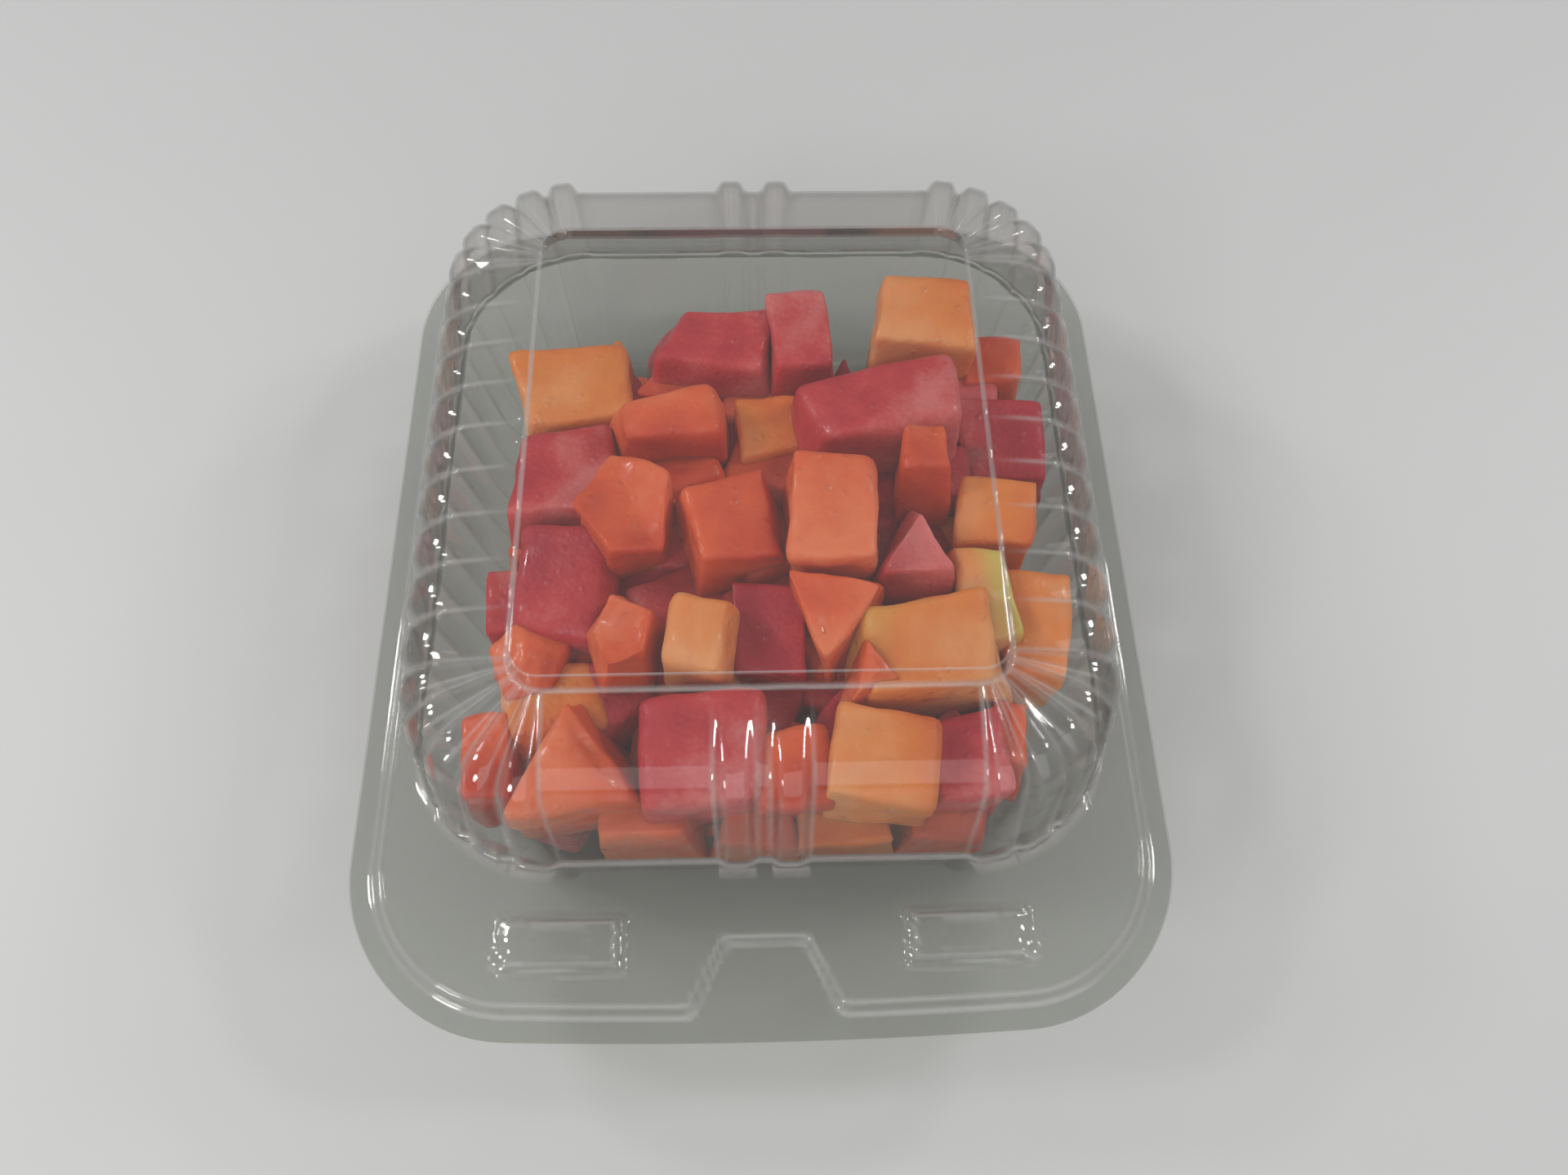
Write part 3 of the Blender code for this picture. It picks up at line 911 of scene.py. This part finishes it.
@dataclass
class Lid(Clamshell):
    """The domed lid: flange, fluted wall, rounded knee, shoulder and raised top panel."""

    longest_step: float = 6 * MM
    thirds: tuple[float, float] = (0.33, 0.67)

    def wall_rows(self) -> list[Row]:
        """Work out the dome's profile.

        Its corners are radius, height, and how far the flutes stand out and up, in millimetres.

        Returns:
            The rows from the wall's foot to the top panel.
        """
        corners = [(35.7, 2.5, 1.2, 0), (30.6, 29.4, 3.0, 0), (28.9, 34.2, 3.0, 0.8), (24.6, 37.0, 1.9, 1.7),
                   (16.0, 38.6, 0.6, 0.9), (7.7, 39.4, 0, 0.25), (6.6, 44.6, 0, 0), (5.0, 45.0, 0, 0)]
        rows = [Row(1, radius * MM, self.tub_height + z * MM, out * MM, up * MM)
                for radius, z, out, up in corners]
        start = Row(0.9, self.foot_radius + 0.6 * MM, self.tub_height + self.riser_rise)
        bends = [1.2 * MM, 3.2 * MM, 2.2 * MM, 3.0 * MM, 4.0 * MM, 0.9 * MM, 0.5 * MM]
        rows = self.rounded([start] + rows, bends, self.corner_steps)
        straight = [index for index in range(len(rows) - 1)
                    if rows[index].distance(rows[index + 1]) > self.longest_step]
        for index in reversed(straight):
            rows[index + 1:index + 1] = [rows[index].towards(rows[index + 1], share)
                                         for share in self.thirds]
        return rows[1:]

    def build(self) -> None:
        """Model the lid and put it on its body."""
        flange = self.flange_rows(self.tub_height, self.lip, self.foot_radius)
        rings = [self.stamp(self.points(row), self.tub_height, 0) for row in flange]
        back = self.depth / 2 - 2 * self.hinge_radius - self.hinge_clearance
        for ring in rings:
            behind = np.abs(ring[:, 0]) < self.hinge_length / 2 + self.hinge_clearance
            ring[behind, 1] = np.minimum(ring[behind, 1], back)
        rings += [self.points(row) for row in self.wall_rows()]
        lid = self.loft("clear_lid", rings)
        hand_over(lid, Body.LID, "lid", LID_SHEET.material())


@dataclass
class Tub(Clamshell):
    """The tub: a flange nested under the lid's, fluted walls that draw in to a flat floor, a hinge bead."""

    riser_nest: float = 0.6 * MM
    notch_clearance: float = 1.3 * MM
    wall_steps: int = 6
    bead_sides: int = 24
    bead_drop: float = 0.95 * MM
    bead_round: float = 0.5 * MM

    def wall_rows(self, base: float) -> list[Row]:
        """Work out the wall's profile, with its corners given as the lid's are.

        Args:
            base: Height of the tub's lip.

        Returns:
            The rows from the wall's foot, at the flange, to the floor.
        """
        corners = [(self.foot_radius / MM - 1.1, (base + self.riser_rise) / MM, 1.2, 0), (29.6, 8.5, 2.2, 0),
                   (27.5, 2.6, 1.8, 0), (24.0, 0.8, 0.4, 0), (20.0, 0.8, 0, 0)]
        rows = [Row(1, radius * MM, z * MM, out * MM, up * MM) for radius, z, out, up in corners]
        start = Row(0.9, self.foot_radius - 0.5 * MM, base + self.riser_rise)
        bends = [1.2 * MM, 3.0 * MM, 2.2 * MM, 1.5 * MM]
        rows = self.rounded([start] + rows, bends, self.corner_steps)
        long = max(range(len(rows) - 1), key=lambda index: rows[index].distance(rows[index + 1]))
        rows[long + 1:long + 1] = [rows[long].towards(rows[long + 1], step / self.wall_steps)
                                   for step in range(1, self.wall_steps)]
        return rows[1:]

    def bead(self) -> bpy.types.Object:
        """Model the round fold along the back edge that the lid turns on.

        Returns:
            The bead.
        """
        deselect()
        place = (0, self.depth / 2 - self.hinge_radius, self.tub_height - self.bead_drop)
        bpy.ops.mesh.primitive_cylinder_add(
            vertices=self.bead_sides, radius=self.hinge_radius, depth=self.hinge_length,
            location=place, rotation=(0, math.pi / 2, 0))
        bead = bpy.context.active_object
        bpy.ops.object.transform_apply(location=True, rotation=True, scale=True)
        bpy.ops.object.mode_set(mode="EDIT")
        bpy.ops.mesh.select_mode(type="FACE")
        bpy.ops.mesh.select_all(action="DESELECT")
        bpy.ops.mesh.select_face_by_sides(number=self.bead_sides)
        bpy.ops.mesh.bevel(offset=self.bead_round, segments=3, affect="EDGES")
        bpy.ops.mesh.select_mode(type="VERT")
        bpy.ops.object.mode_set(mode="OBJECT")
        bead.name = "hinge_bead"
        bpy.ops.object.shade_smooth_by_angle(angle=math.radians(self.smooth_angle))
        return bead

    def build(self) -> None:
        """Model the tub and its hinge bead and put them on the tray."""
        base = self.tub_height - self.pitch
        flange = self.flange_rows(base, self.lip + self.riser_nest, self.foot_radius - self.pitch)
        rings = [self.stamp(self.points(row), base, self.notch_clearance) for row in flange]
        rings += [self.points(row) for row in self.wall_rows(base)]
        material = TUB_SHEET.material()
        hand_over(self.loft("clear_tub", rings), Body.TRAY, "tub", material)
        hand_over(self.bead(), Body.TRAY, "tub", material)


# The fruit


@dataclass(frozen=True)
class Cut:
    """One cut of fruit: a block, wedge or five-sided lump whose upper face may be smaller.

    Places and sizes are millimetres and the top is a height over the flange. Turn and lean are degrees.
    Taper is the size of the upper face, and the shifts are how far it lies off centre, as shares of the
    piece. Tone is 0 for pale and 1 for deep flesh. Rind is the side that carries a strip of peel. Edge is
    how sharp its edges stay.
    """

    kind: Kind
    x: float
    y: float
    top: float
    width: float
    depth: float
    height: float
    sides: int
    turn: float
    lean: float
    taper: float
    shift_x: float = 0.0
    shift_y: float = 0.0
    tone: float = 0.5
    rind: tuple[float, float, float] = (0, 0, 0)
    edge: float = 0.34


W, P, M = Kind.WATERMELON, Kind.PAPAYA, Kind.MELON

TOP_CUTS = [
    # Along the back
    Cut(M, -50, 55, 8, 34, 29, 26, 4, 4, 5, 0.90, tone=0.35),
    Cut(W, -13, 63, 16, 36, 26, 28, 4, -6, 0, 0.72, 0.10, tone=0.40),
    Cut(W, 12, 64, 18, 20, 25, 30, 4, 2, 4, 0.82, tone=0.45),
    Cut(M, 46, 67, 22, 29, 24, 32, 4, -2, 4, 0.92, tone=0.45),
    Cut(P, 66, 61, 5, 18, 16, 20, 4, 0, -5, 0.90, tone=0.6),
    # Second row
    Cut(P, -22, 35, 22, 33, 18, 22, 4, 5, 8, 0.80, tone=0.6, edge=0.18),
    Cut(M, 4, 38, 12, 20, 20, 24, 4, 10, 0, 0.85, tone=0.9),
    Cut(W, 29, 36, 26, 48, 24, 26, 4, 9, 6, 0.80, 0.03, tone=0.45, edge=0.15),
    Cut(P, 43, 21, 24, 14, 17, 28, 4, 0, -6, 0.82, tone=0.55),
    Cut(W, 66, 37, 6, 24, 28, 24, 4, 0, 4, 0.90, tone=0.85),
    # Middle
    Cut(W, -50, 21, 14, 30, 30, 26, 4, 6, -6, 0.86, tone=0.55),
    Cut(P, -32, 8, 26, 25, 28, 26, 5, 12, 8, 0.92, tone=0.5),
    Cut(P, -5, 4, 27, 29, 32, 26, 4, 16, 10, 0.70, -0.08, tone=0.65),
    Cut(P, 18, 4, 31, 22, 28, 28, 4, -2, 9, 0.92, tone=0.25, edge=0.24),
    Cut(W, 39, -1, 22, 29, 32, 26, 3, -6, 8, 0.60, tone=0.2, edge=0.2),
    Cut(M, 61, 10, 12, 21, 19, 24, 4, -4, 6, 0.92, tone=0.4),
    # In front of the middle
    Cut(W, -48, -6, 15, 29, 33, 26, 4, -10, 8, 0.80, tone=0.6, edge=0.22),
    Cut(W, -62, -10, 6, 16, 22, 22, 4, 8, 0, 0.85, tone=0.4),
    Cut(P, -33, -25, 23, 24, 25, 26, 5, 4, 12, 0.62, 0, 0.05, tone=0.5),
    Cut(M, -14, -26, 25, 20, 22, 24, 4, -10, 12, 0.80, tone=0.05, edge=0.15),
    Cut(W, 2, -22, 16, 18, 24, 24, 4, 0, 6, 0.90, tone=0.9),
    Cut(P, 17, -24, 26, 25, 28, 26, 3, 172, -10, 0.85, tone=0.45),
    Cut(M, 56, -15, 17, 14, 27, 24, 4, 10, 4, 0.90, tone=0.2, rind=(0.5, 0, 0.6)),
    Cut(M, 68, -19, 10, 18, 29, 28, 4, -4, 4, 0.88, tone=0.35),
    # Front row behind the panel's edge
    Cut(P, -57, -26, 8, 24, 24, 24, 5, 10, 6, 0.80, tone=0.5),
    Cut(P, 26, -35, 26, 22, 25, 26, 3, 4, 14, 0.50, 0, 0.05, tone=0.5),
    Cut(M, 40, -30, 24, 40, 27, 26, 4, 9, 8, 0.80, -0.04, tone=0.3, rind=(-0.42, 0.36, 0)),
    # Against the front wall
    Cut(P, -65, -50, 4, 13, 22, 22, 4, 4, 0, 0.85, tone=0.7),
    Cut(P, -43, -52, 18, 42, 33, 28, 3, 4, 14, 0.76, -0.05, 0.05, tone=0.5),
    Cut(W, -13, -53, 18, 31, 28, 28, 4, 4, 10, 0.88, tone=0.5, edge=0.25),
    Cut(P, 7, -56, 14, 21, 21, 24, 4, 4, 8, 0.88, tone=0.55),
    Cut(M, 28, -56, 20, 25, 24, 28, 4, -6, 6, 0.86, -0.05, tone=0.45),
    Cut(W, 48, -53, 10, 20, 22, 26, 4, 4, 6, 0.88, tone=0.6),
    Cut(P, 59, -48, 8, 10, 19, 24, 4, -4, 0, 0.85, tone=0.7),
    Cut(P, -28, -65, 3, 28, 14, 26, 4, 0, 0, 0.65, tone=0.15),
    Cut(P, -2, -65, -4, 22, 14, 24, 4, -4, 6, 0.85, tone=0.6),
    Cut(M, 20, -65, -3, 24, 14, 24, 4, 2, 4, 0.90, tone=0.75),
    Cut(P, 44, -64, -6, 22, 14, 22, 4, -2, 0, 0.90, tone=0.6),
]


@dataclass
class FruitHeap:
    """The heap of cut fruit: the cuts that show from above, those under them and a core of the deepest
    flesh, which stands in as painted shade in the gaps.

    Lengths are millimetres here. The room's levels are heights and how far the fruit may reach from the
    wall's core there.
    """

    # The heap and its room
    flange: float = 41.1
    piece: float = 24.0
    floor: float = 1.1
    left: float = -64.0
    right: float = 66.0
    front: float = -60.0
    back: float = 72.0
    room_levels: tuple[tuple[float, float], ...] = ((1.1, 24.5), (5.1, 28.0), (41.1, 33.5), (74.5, 28.6))
    step: float = 21.0
    tops: tuple[float, float] = (-18.0, 2.0)
    seed: int = 32
    # Lower rings, core and the cuts between
    ring_stray: float = 2.0
    ring_lift: float = 3.0
    ring_width: tuple[float, float] = (21.0, 28.0)
    ring_depth: tuple[float, float] = (20.0, 26.0)
    core_top: float = 4.0
    core_taper: float = 0.9
    core_cells: int = 9
    core_jitter: float = 0.012
    # Deepest flesh tone of the core, which serves as painted shade in the gaps
    core_deep_shade_tone: float = 1.3
    under_grid: tuple[int, int] = (5, 5)
    under_half: tuple[float, float] = (50.0, 52.0)
    under_top: float = 15.0
    under_fall: float = 18.0
    under_stray: tuple[float, float] = (3.0, 2.0)
    under_width: tuple[float, float] = (22.0, 27.0)
    # Unevenness of each cut
    hidden_edge: float = 0.12
    tone_slant: float = 0.6
    corner_jitter: float = 0.085
    face_jitter: float = 0.018
    cells: int = 3
    sharp_angle: float = 25.0

    def edge_cuts(self) -> list[Cut]:
        """Lay out the lower cuts that lean on each other round the heap, on the floor and above it.

        Returns:
            The cuts.
        """
        rng = random.Random(self.seed)
        kinds = random.Random(self.seed + 1)
        cuts = []
        for layer, top in enumerate(self.tops):
            left, right = self.left + self.piece / 2, self.right - self.piece / 2
            front, back = self.front + self.piece / 2, self.back - self.piece / 2
            corners = [(left, front), (right, front), (right, back), (left, back)]
            for index, start in enumerate(corners):
                end = corners[(index + 1) % 4]
                steps = round(math.dist(start, end) / self.step)
                for step in range(steps):
                    share = (step + 0.5 * (layer % 2)) / steps
                    stray = [rng.uniform(-self.ring_stray, self.ring_stray) for _ in range(2)]
                    x = start[0] + (end[0] - start[0]) * share + stray[0]
                    y = start[1] + (end[1] - start[1]) * share + stray[1]
                    width, depth = rng.uniform(*self.ring_width), rng.uniform(*self.ring_depth)
                    sides = rng.choice((3, 4, 4, 4, 5))
                    kind = kinds.choice((W, P, P, M, W, M))
                    tone = kinds.uniform(0.3, 0.8)
                    lift = rng.uniform(-self.ring_lift, self.ring_lift)
                    cuts.append(Cut(kind, x, y, top + lift, width, depth, self.piece, sides,
                                    rng.uniform(-28, 28), rng.uniform(-9, 9), rng.uniform(0.7, 1),
                                    tone=tone, edge=self.hidden_edge))
        return cuts

    def under_cuts(self) -> list[Cut]:
        """Lay out the cuts that fill the gaps under those that show, highest in the middle of the heap.

        Returns:
            The cuts.
        """
        rng = random.Random(self.seed + 2)
        aside, lift = self.under_stray
        cuts = []
        for column in range(self.under_grid[0]):
            for row in range(self.under_grid[1]):
                right = 2 * (column + 0.5) / self.under_grid[0] - 1
                behind = 2 * (row + 0.5) / self.under_grid[1] - 1
                x = (self.left + self.right) / 2 + right * self.under_half[0] + rng.uniform(-aside, aside)
                y = (self.front + self.back) / 2 + behind * self.under_half[1] + rng.uniform(-aside, aside)
                top = self.under_top - self.under_fall * max(abs(right), abs(behind))
                top += rng.uniform(-lift, lift)
                kind = rng.choice((W, W, W, P, P, M))
                width, depth = rng.uniform(*self.under_width), rng.uniform(*self.under_width)
                cuts.append(Cut(kind, x, y, top, width, depth, self.piece, 4,
                                rng.uniform(-40, 40), rng.uniform(-8, 8), rng.uniform(0.75, 0.95),
                                tone=rng.uniform(0.5, 1.0), edge=self.hidden_edge))
        return cuts

    @staticmethod
    def _select(thing: bpy.types.Object, wanted: Callable[[Vector], bool]) -> None:
        """Select points of an object in edit mode.

        Args:
            thing: The object.
            wanted: Says of a point's place whether it is selected.
        """
        mesh = bmesh.from_edit_mesh(thing.data)
        for vert in mesh.verts:
            vert.select = wanted(vert.co)
        mesh.select_flush_mode()
        bmesh.update_edit_mesh(thing.data)

    def _blank(self, sides: int) -> bpy.types.Object:
        """Add a block of unit size and leave it in edit mode.

        Args:
            sides: Number of its sides. One that isn't a cube has a corner to the back.

        Returns:
            The block.
        """
        if sides == 4:
            bpy.ops.mesh.primitive_cube_add(size=1)
            bpy.ops.object.mode_set(mode="EDIT")
            return bpy.context.active_object
        bpy.ops.mesh.primitive_cylinder_add(vertices=sides, radius=1, depth=1, end_fill_type="TRIFAN")
        blank = bpy.context.active_object
        low = [min(corner[axis] for corner in blank.bound_box) for axis in range(2)]
        high = [max(corner[axis] for corner in blank.bound_box) for axis in range(2)]
        bpy.ops.object.mode_set(mode="EDIT")
        bpy.ops.mesh.select_all(action="SELECT")
        bpy.ops.transform.translate(value=(0, -(low[1] + high[1]) / 2, 0))
        bpy.ops.transform.resize(value=(1 / (high[0] - low[0]), 1 / (high[1] - low[1]), 1),
                                 center_override=(0, 0, 0))
        return blank

    def shape(self, cut: Cut, seed: int) -> bpy.types.Object:
        """Model one cut of fruit.

        Args:
            cut: Its place, size and shape.
            seed: Seed of its unevenness.

        Returns:
            The cut as an object, with its tone and rind as attributes.
        """
        deselect()
        piece = self._blank(cut.sides)
        self._select(piece, lambda place: place.z > 0)
        bpy.ops.transform.resize(value=(cut.taper, cut.taper, 1), center_override=(0, 0, 0.5))
        bpy.ops.transform.translate(value=(cut.shift_x, cut.shift_y, 0))
        bpy.ops.mesh.select_all(action="SELECT")
        bpy.ops.transform.vertex_random(offset=self.corner_jitter, uniform=1.0, seed=seed)
        bpy.ops.mesh.select_all(action="DESELECT")
        bpy.ops.mesh.select_mode(type="EDGE")
        bpy.ops.mesh.edges_select_sharp(sharpness=math.radians(self.sharp_angle))
        bpy.ops.transform.edge_crease(value=cut.edge)
        bpy.ops.mesh.select_mode(type="VERT")
        bpy.ops.mesh.select_all(action="SELECT")
        bpy.ops.mesh.subdivide(number_cuts=self.cells)
        bpy.ops.transform.vertex_random(offset=self.face_jitter, uniform=1.0, seed=seed + 1)
        bpy.ops.object.mode_set(mode="OBJECT")
        places = places_of(piece)
        slant = np.array(Vector((math.cos(seed), math.sin(seed), 0.6 * math.sin(2.3 * seed))))
        store(piece, "tone", cut.tone + self.tone_slant * places @ slant)
        store(piece, "rind", np.clip(places @ np.array(cut.rind) + 0.5, 0, 1) * any(cut.rind))
        piece.scale = (cut.width * MM, cut.depth * MM, cut.height * MM)
        piece.rotation_euler = Euler((math.radians(cut.lean), 0, math.radians(cut.turn)))
        piece.location = (cut.x * MM, cut.y * MM, (self.flange + cut.top - cut.height / 2) * MM)
        bpy.ops.object.transform_apply(location=True, rotation=True, scale=True)
        return piece

    def press_in(self, thing: bpy.types.Object) -> None:
        """Press the points of a piece that would cross the floor, the walls or the lid back inside them.

        Args:
            thing: The piece.
        """
        places = places_of(thing)
        places[:, 2] = np.maximum(places[:, 2], self.floor * MM)
        shape = Clamshell()
        levels = np.array(self.room_levels) * MM
        reach = np.interp(places[:, 2], levels[:, 0], levels[:, 1])
        x, y = places[:, 0], places[:, 1] - shape.dome_y
        core_x = np.clip(x, -shape.straight_x, shape.straight_x)
        core_y = np.clip(y, -shape.straight_y, shape.straight_y)
        away = np.hypot(x - core_x, y - core_y)
        share = np.minimum(1.0, reach / np.maximum(away, MM))
        places[:, 0] = core_x + (x - core_x) * share
        places[:, 1] = core_y + (y - core_y) * share + shape.dome_y
        thing.data.vertices.foreach_set("co", places.ravel())
        thing.data.update()

    @staticmethod
    def soften(thing: bpy.types.Object, rounds: int) -> None:
        """Round a joined piece and make its cut faces uneven.

        Args:
            thing: The piece.
            rounds: Levels of subdivision.
        """
        apply_modifier(thing, "SUBSURF", levels=rounds, render_levels=rounds)
        ruffle(thing, "lumps", 18 * MM, 2.8 * MM, 1)
        ruffle(thing, "knife_marks", 4 * MM, 0.3 * MM, 1)
        bpy.ops.object.shade_smooth()

    def core(self) -> bpy.types.Object:
        """Model the hidden middle of the heap: a lumpy block of the deepest flesh, painted shade that fills
        the gaps between the pieces.

        Returns:
            The core.
        """
        deselect()
        bpy.ops.mesh.primitive_cube_add(size=1)
        core = bpy.context.active_object
        bpy.ops.object.mode_set(mode="EDIT")
        self._select(core, lambda place: place.z > 0)
        bpy.ops.transform.resize(value=(self.core_taper, self.core_taper, 1), center_override=(0, 0, 0.5))
        bpy.ops.mesh.select_all(action="SELECT")
        bpy.ops.mesh.subdivide(number_cuts=self.core_cells)
        bpy.ops.transform.vertex_random(offset=self.core_jitter, uniform=1.0, seed=self.seed)
        bpy.ops.object.mode_set(mode="OBJECT")
        left, right = self.left + self.piece, self.right - self.piece
        front, back = self.front + self.piece, self.back - self.piece
        height = self.flange + self.core_top - self.floor
        core.scale = ((right - left) * MM, (back - front) * MM, height * MM)
        core.location = ((left + right) / 2 * MM, (front + back) / 2 * MM, (self.floor + height / 2) * MM)
        bpy.ops.object.transform_apply(location=True, rotation=True, scale=True)
        count = len(core.data.vertices)
        # The core's deep tone is painted shade between the pieces
        store(core, "tone", np.full(count, self.core_deep_shade_tone))
        store(core, "rind", np.zeros(count))
        core.name = "heap_core"
        self.soften(core, 1)
        self.press_in(core)
        return core

    def build(self) -> None:
        """Model the cuts kind by kind, and the core, and put them on the tray."""
        cuts = TOP_CUTS + self.edge_cuts() + self.under_cuts()
        shaped: dict[Kind, list[bpy.types.Object]] = {kind: [] for kind in Kind}
        for index, cut in enumerate(cuts):
            shaped[cut.kind].append(self.shape(cut, 2 * index + 1))
        finishes = {kind: FLESH[kind].material() for kind in Kind}
        for kind, pieces in shaped.items():
            chunks = join(pieces, f"{kind.value}_cuts")
            self.soften(chunks, 2)
            self.press_in(chunks)
            hand_over(chunks, Body.TRAY, "fruit_heap", finishes[kind])
        hand_over(self.core(), Body.TRAY, "fruit_heap", finishes[W])


# The studio


@dataclass
class Studio:
    """Pale floor, soft lights and the camera, whose angles are degrees."""

    room_colour: Colour = (0.86, 0.88, 0.90)
    room_light: float = 0.38
    floor_size: float = 2.6
    place: tuple[float, float, float] = (-0.0013, -0.1376, 0.3132)
    pitch: float = 64.1
    yaw: float = -3.32
    roll: float = -2.10
    lens: float = 27.0
    sensor: float = 36.0

    def camera(self) -> None:
        """Put the camera where the photograph was taken from."""
        pitch, yaw, roll = (math.radians(angle) for angle in (self.pitch, self.yaw, self.roll))
        level = Vector((math.cos(yaw), math.sin(yaw), 0))
        ahead = Vector((-math.sin(yaw) * math.cos(pitch), math.cos(yaw) * math.cos(pitch), -math.sin(pitch)))
        drop = ahead.cross(level)
        right = math.cos(roll) * level + math.sin(roll) * drop
        down = math.cos(roll) * drop - math.sin(roll) * level
        camera = bpy.data.objects.new("camera", bpy.data.cameras.new("camera"))
        camera.data.sensor_width = self.sensor
        camera.data.lens = self.lens
        camera.data.clip_start = MM
        turn = Matrix((right, -down, -ahead)).transposed().to_4x4()
        camera.matrix_world = Matrix.Translation(self.place) @ turn
        bpy.context.scene.collection.objects.link(camera)
        bpy.context.scene.camera = camera

    @staticmethod
    def lamp(name: str, place: Sequence[float], size: tuple[float, float], power: float,
             colour: Colour = (1, 1, 1)) -> None:
        """Add a rectangular lamp that faces the pack.

        Args:
            name: Its name.
            place: Where it hangs.
            size: Width and height.
            power: Watts.
            colour: Its light's colour.
        """
        light = bpy.data.lights.new(name, "AREA")
        light.shape = "RECTANGLE"
        light.size, light.size_y = size
        light.energy = power
        light.color = colour
        lamp = bpy.data.objects.new(name, light)
        lamp.location = place
        lamp.rotation_euler = (Vector((0, 0, 0.04)) - Vector(place)).to_track_quat("-Z", "Y").to_euler()
        bpy.context.scene.collection.objects.link(lamp)

    def build(self) -> None:
        """Set up the floor, the light and the camera."""
        deselect()
        bpy.ops.mesh.primitive_plane_add(size=self.floor_size, location=(0, 0, -FLOOR_GAP))
        floor = bpy.context.active_object
        floor.name = "floor"
        bpy.ops.object.transform_apply(location=True, rotation=True, scale=True)
        floor.data.materials.append(Backdrop().material())
        floor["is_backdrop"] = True
        world = bpy.data.worlds.new("soft_room")
        world.use_nodes = True
        world.node_tree.nodes["Background"].inputs[0].default_value = (*self.room_colour, 1)
        world.node_tree.nodes["Background"].inputs[1].default_value = self.room_light
        bpy.context.scene.world = world
        bpy.context.scene.view_settings.view_transform = "Standard"
        self.lamp("soft_front", (0.10, -1.00, 1.00), (1.8, 1.3), 7)
        self.lamp("left_corner", (-0.70, -0.72, 0.75), (0.20, 0.20), 3)
        self.lamp("left_back", (-0.86, 0.36, 0.75), (0.14, 0.14), 2.6)
        self.lamp("left_front", (-0.80, 0.05, 0.86), (0.14, 0.14), 2.6)
        self.lamp("right_back", (0.86, 0.42, 0.75), (0.14, 0.14), 2.2)
        self.lamp("right_front", (0.82, 0.10, 0.84), (0.14, 0.14), 2.2)
        self.camera()


def main() -> None:
    """Build the studio, the clamshell and the fruit."""
    logging.basicConfig(level=logging.INFO, format="%(message)s")
    Studio().build()
    Lid().build()
    Tub().build()
    FruitHeap().build()
    boxes = {"cad": CAD_BOX, "visual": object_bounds()}
    {name: [list(corner) for corner in box] for name, box in boxes.items()}


if __name__ == "__main__":
    main()
